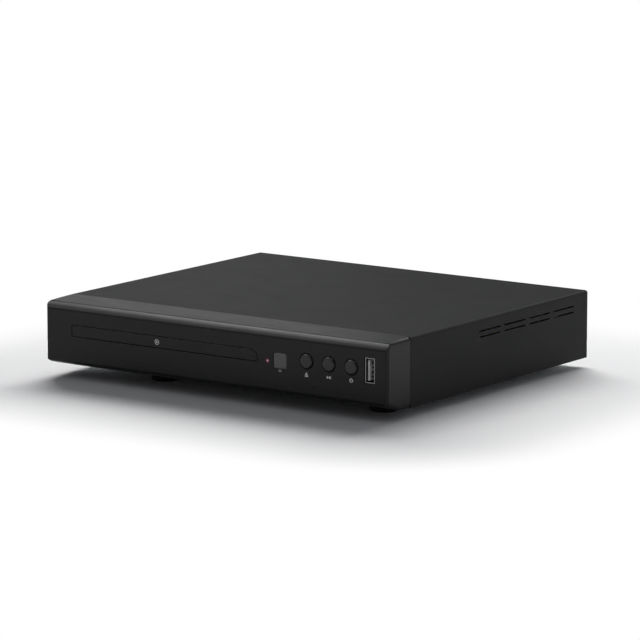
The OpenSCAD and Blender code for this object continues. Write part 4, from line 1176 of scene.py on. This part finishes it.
@dataclass
class Studio:
    """Floor, lamps and camera, in metres and degrees.

    Attributes:
        stand: Half the width and half the depth of the player.
        target: The point that the camera and the lamps look at.
        distance: How far the camera is from it.
        azimuth: How far the camera is turned from straight ahead of the front.
        elevation: How far it looks down.
        lens: Its focal length in millimetres.
        sensor: The width of its sensor in millimetres.
        near: Where its view starts.
        far: Where its view ends.
        floor_size: The length of the floor's sides.
        floor_white: How light the floor is.
        floor_spread: By what share that varies.
        floor_roughness: How matt the floor is.
        dome: The strength of the even light from all sides.
        dome_tint: Its colour.
        clear_from: How far from the player the floor starts to clear to plain white.
        clear_to: Where it has cleared.
        lamps: The lamps.
    """

    stand: Sequence[float]
    target: Vector = field(default_factory=lambda: Vector((0.00102, -0.0041, 0.02875)))
    distance: float = 2.198
    azimuth: float = 35.466
    elevation: float = 10.228
    lens: float = 224.6
    sensor: float = 36.0
    near: float = 0.05
    far: float = 60.0
    floor_size: float = 14.0
    floor_white: float = 0.97
    floor_spread: float = 0.004
    floor_roughness: float = 0.8
    dome: float = 0.16
    dome_tint: Colour = (0.93, 0.95, 1.0)
    clear_from: float = 0.05
    clear_to: float = 0.12
    lamps: tuple[Lamp, ...] = (
        Lamp("key", (-0.5, 1.0, 1.03), (1.5, 0.6), 27.5, Reach.SCATTER),
        Lamp("strip", (-0.63, -0.075, 0.93), (0.35, 1.1), 7.0, Reach.SHINE, Axis.Y),
        Lamp("rear strip", (-0.63, 0.75, 0.93), (0.35, 0.55), 0.4, Reach.SHINE, Axis.Y),
        Lamp("front left", (-0.7, -0.84, 0.6), (0.5, 0.6), 2.6, Reach.SHINE),
        Lamp("low", (-0.79, 0.86, 0.29), (0.35, 0.35), 0.21, Reach.SHINE),
        Lamp("back", (0.2, 0.95, 0.65), (0.7, 0.5), 2.8, Reach.SHINE),
        Lamp("back right", (0.68, 0.86, 0.36), (0.4, 0.3), 0.24, Reach.SHINE),
        Lamp("above", (0.28, -0.15, 1.1), (0.5, 0.9), 4.0, Reach.SHINE, Axis.Y),
    )

    def build(self) -> None:
        """Set up the studio."""
        self.camera()
        self.floor()
        self.sky()
        for lamp in self.lamps:
            self.hang(lamp)
        bpy.context.scene.view_settings.view_transform = "Standard"

    def camera(self) -> None:
        """Place the camera."""
        data = bpy.data.cameras.new("camera")
        data.lens = self.lens
        data.sensor_width = self.sensor
        data.clip_start = self.near
        data.clip_end = self.far
        eye = bpy.data.objects.new("camera", data)
        bpy.context.scene.collection.objects.link(eye)
        turn, tilt = math.radians(self.azimuth), math.radians(self.elevation)
        back = Vector((math.sin(turn) * math.cos(tilt), -math.cos(turn) * math.cos(tilt), math.sin(tilt)))
        eye.location = self.target + back * self.distance
        eye.rotation_euler = (-back).to_track_quat("-Z", "Y").to_euler()
        bpy.context.scene.camera = eye

    def floor(self) -> None:
        """Lay a pale floor that keeps the shadow and clears to plain white away from it."""
        mesh = bmesh.new()
        bmesh.ops.create_grid(mesh, x_segments=1, y_segments=1, size=self.floor_size / 2)
        data = bpy.data.meshes.new("floor")
        mesh.to_mesh(data)
        mesh.free()
        plane = bpy.data.objects.new("floor", data)
        bpy.context.scene.collection.objects.link(plane)
        data.materials.append(self.floor_material())
        plane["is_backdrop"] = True

    def floor_material(self) -> bpy.types.Material:
        """Matt near the player and plain white to the eye away from it."""
        mix = Mixture("floor")
        mix.use(
            Base_Color=mix.shade((self.floor_white,) * 3, self.floor_spread, mix.noise(60.0, 2.0)),
            Roughness=self.floor_roughness,
            Specular_IOR_Level=0.0,
        )
        x, y, _ = mix.axes()
        past_x, past_y = ((abs(place) - half).most(0.0) for place, half in zip((x, y), self.stand))
        away = past_x.span(past_y).rise(self.clear_from, self.clear_to)
        path = mix.node("ShaderNodeLightPath")
        seen = Wire(mix, path.outputs["Is Camera Ray"]).most(Wire(mix, path.outputs["Is Glossy Ray"]))
        seen = seen.most(Wire(mix, path.outputs["Is Transmission Ray"]))
        plain = mix.node("ShaderNodeEmission", inputs={"Color": (1.0, 1.0, 1.0, 1.0), "Strength": 1.0})
        inputs = {0: away * seen, 1: Wire(mix, mix.shader.outputs[0]), 2: Wire(mix, plain.outputs[0])}
        both = mix.node("ShaderNodeMixShader", inputs=inputs)
        mix.tree.links.new(both.outputs[0], mix.result.inputs["Surface"])
        return mix.material

    def sky(self) -> None:
        """Surround the scene with even soft light."""
        world = bpy.data.worlds.new("studio")
        world.use_nodes = True
        back = world.node_tree.nodes["Background"]
        back.inputs["Color"].default_value = (*self.dome_tint, 1.0)
        back.inputs["Strength"].default_value = self.dome
        bpy.context.scene.world = world

    def hang(self, lamp: Lamp) -> None:
        """Hang one lamp so that it faces the player.

        Args:
            lamp: The lamp.
        """
        data = bpy.data.lights.new(lamp.name, "AREA")
        data.shape = "RECTANGLE"
        data.energy = lamp.power
        data.size, data.size_y = lamp.size
        made = bpy.data.objects.new(lamp.name, data)
        bpy.context.scene.collection.objects.link(made)
        made.location = lamp.place
        out = (Vector(lamp.place) - self.target).normalized()
        side = lamp.along.vector.cross(out).normalized()
        made.rotation_euler = Matrix((side, out.cross(side), out)).transposed().to_euler()
        made.visible_diffuse, made.visible_glossy = lamp.reach.value


def finishes(lamp: Vector, low: Vector, high: Vector) -> dict[str, Finish]:
    """The finish of every slot and of the extra pieces.

    Args:
        lamp: The middle of the lamp's lens.
        low: The lowest corner of the front moulding.
        high: Its highest corner.

    Returns:
        The finishes by name.
    """
    front = FrontPlastic((0.0065, 0.0066, 0.007), 0.3, 0.12, 0.3, 0.003, 0.2, lamp=lamp, low=low, high=high)
    return {
        "bezel_plastic": front,
        "cover_paint": Powder((0.0138, 0.0139, 0.0144), 0.55, 0.12, 0.5, 0.02, 0.15),
        "chassis_steel": Metal((0.52, 0.54, 0.55), 0.4, 0.08, Axis.X, 0.03, 0.2, 0.003, 0.7),
        "smoked_window": Clear((0.024, 0.024, 0.026), 0.2, 0.1, 0.0, 0.25),
        "lamp_red": LampLens((0.03, 0.006, 0.01), 0.25, 0.1, 0.0, 0.1, middle=lamp),
        "foot_rubber": Rubber((0.012, 0.012, 0.012), 0.75),
        "black_screw": Metal((0.05, 0.05, 0.055), 0.4, 0.2, Axis.Z, 0.3, 0.2),
        "button_plastic": Moulded((0.02, 0.0205, 0.022), 0.32, 0.08, 0.25, 0.003, 0.35),
        "board_green": Laminate((0.015, 0.12, 0.045), 0.38, 0.1),
        "board_tan": Laminate((0.42, 0.26, 0.1), 0.5, 0.1, (0.36, 0.21, 0.08)),
        "chip_black": Moulded((0.02, 0.02, 0.022), 0.55, 0.1, 0.15, 0.01),
        "tongue_white": Moulded((0.55, 0.55, 0.56), 0.4, 0.03),
        "contact_gold": Metal((0.72, 0.66, 0.52), 0.25, 0.06, Axis.Y, 0.05, 0.1, 0.001),
        "pin_brass": Metal((0.72, 0.6, 0.36), 0.28, 0.08, Axis.Y, 8.0, 0.15, 0.002),
        "capacitor_blue": Moulded((0.03, 0.05, 0.16), 0.3, 0.08, 0.4, 0.003),
        "capacitor_black": Moulded((0.02, 0.02, 0.025), 0.3, 0.08, 0.4, 0.003),
        "header_cream": Moulded((0.8, 0.77, 0.66), 0.45, 0.04),
        "plated_steel": Metal((0.24, 0.245, 0.25), 0.3, 0.15, Axis.Y, 0.04, 0.12, 0.001),
        "transformer_tape": Wound((0.72, 0.55, 0.08), 0.3, 0.12, Axis.Z, 1.4),
        "heatsink_metal": Metal((0.6, 0.61, 0.63), 0.38, 0.06, Axis.Z, 0.02, 0.15),
        "fuse_glass": Clear((0.85, 0.88, 0.9), 0.05, 0.02, 0.8, 0.0),
        "socket_black": Moulded((0.02, 0.02, 0.02), 0.45, 0.1, 0.3, 0.008),
        "socket_shell": Metal((0.8, 0.8, 0.82), 0.15, 0.04, Axis.Y, 6.0, 0.2, 0.001),
        "coax_orange": Moulded((0.75, 0.22, 0.02), 0.35, 0.05),
        "video_yellow": Moulded((0.85, 0.62, 0.02), 0.35, 0.05),
        "audio_white": Moulded((0.82, 0.82, 0.8), 0.35, 0.03),
        "audio_red": Moulded((0.6, 0.02, 0.03), 0.35, 0.05),
        "ribbon_ivory": Wound((0.78, 0.76, 0.68), 0.45, 0.08, Axis.X, 1.0),
        "loader_grey": Moulded((0.05, 0.053, 0.058), 0.5, 0.1, 0.4, 0.015),
        "tray_black": Moulded((0.014, 0.014, 0.016), 0.45, 0.1, 0.3, 0.008, 0.3),
        "clamp_white": Moulded((0.8, 0.8, 0.78), 0.45, 0.04),
        "motor_metal": Metal((0.58, 0.59, 0.6), 0.3, 0.06, Axis.Z, 3.0, 0.3, 0.002),
        "gear_ivory": Moulded((0.82, 0.79, 0.7), 0.4, 0.04, 0.3, 0.004),
        "belt_rubber": Rubber((0.015, 0.015, 0.016), 0.7),
        "unit_grey": Moulded((0.09, 0.093, 0.1), 0.55, 0.12, 0.3, 0.02),
        "stator_green": Laminate((0.02, 0.12, 0.05), 0.4, 0.1),
        "table_black": Rubber((0.02, 0.02, 0.022), 0.6),
        "sled_metal": Metal((0.42, 0.43, 0.45), 0.45, 0.12, Axis.X, 1.0, 0.4, 0.012),
        "lens_blue": Clear((0.25, 0.35, 0.6), 0.05, 0.05, 0.3, 0.8),
        "ink_white": Ink((0.8, 0.8, 0.8), 0.5, 0.05),
        "ink_grey": Ink((0.34, 0.34, 0.34), 0.5, 0.08),
    }


def main() -> None:
    """Dress the player and set up its studio."""
    logging.basicConfig(level=logging.INFO, format="%(name)s: %(message)s")
    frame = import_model()
    solid = [list(corner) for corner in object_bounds()]
    low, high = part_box("led_lens")
    shop = Workshop(frame, finishes((low + high) / 2, *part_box("front_bezel")))
    for part in (Case, Controls, Tray, Loader, DriveUnit, Boards, Sockets):
        part(shop).build()
        LOG.info("%s done", part.__name__)
    half_size = [(high - low) / 2 for low, high in zip(*solid)]
    Studio(half_size[:2]).build()


if __name__ == "__main__":
    main()
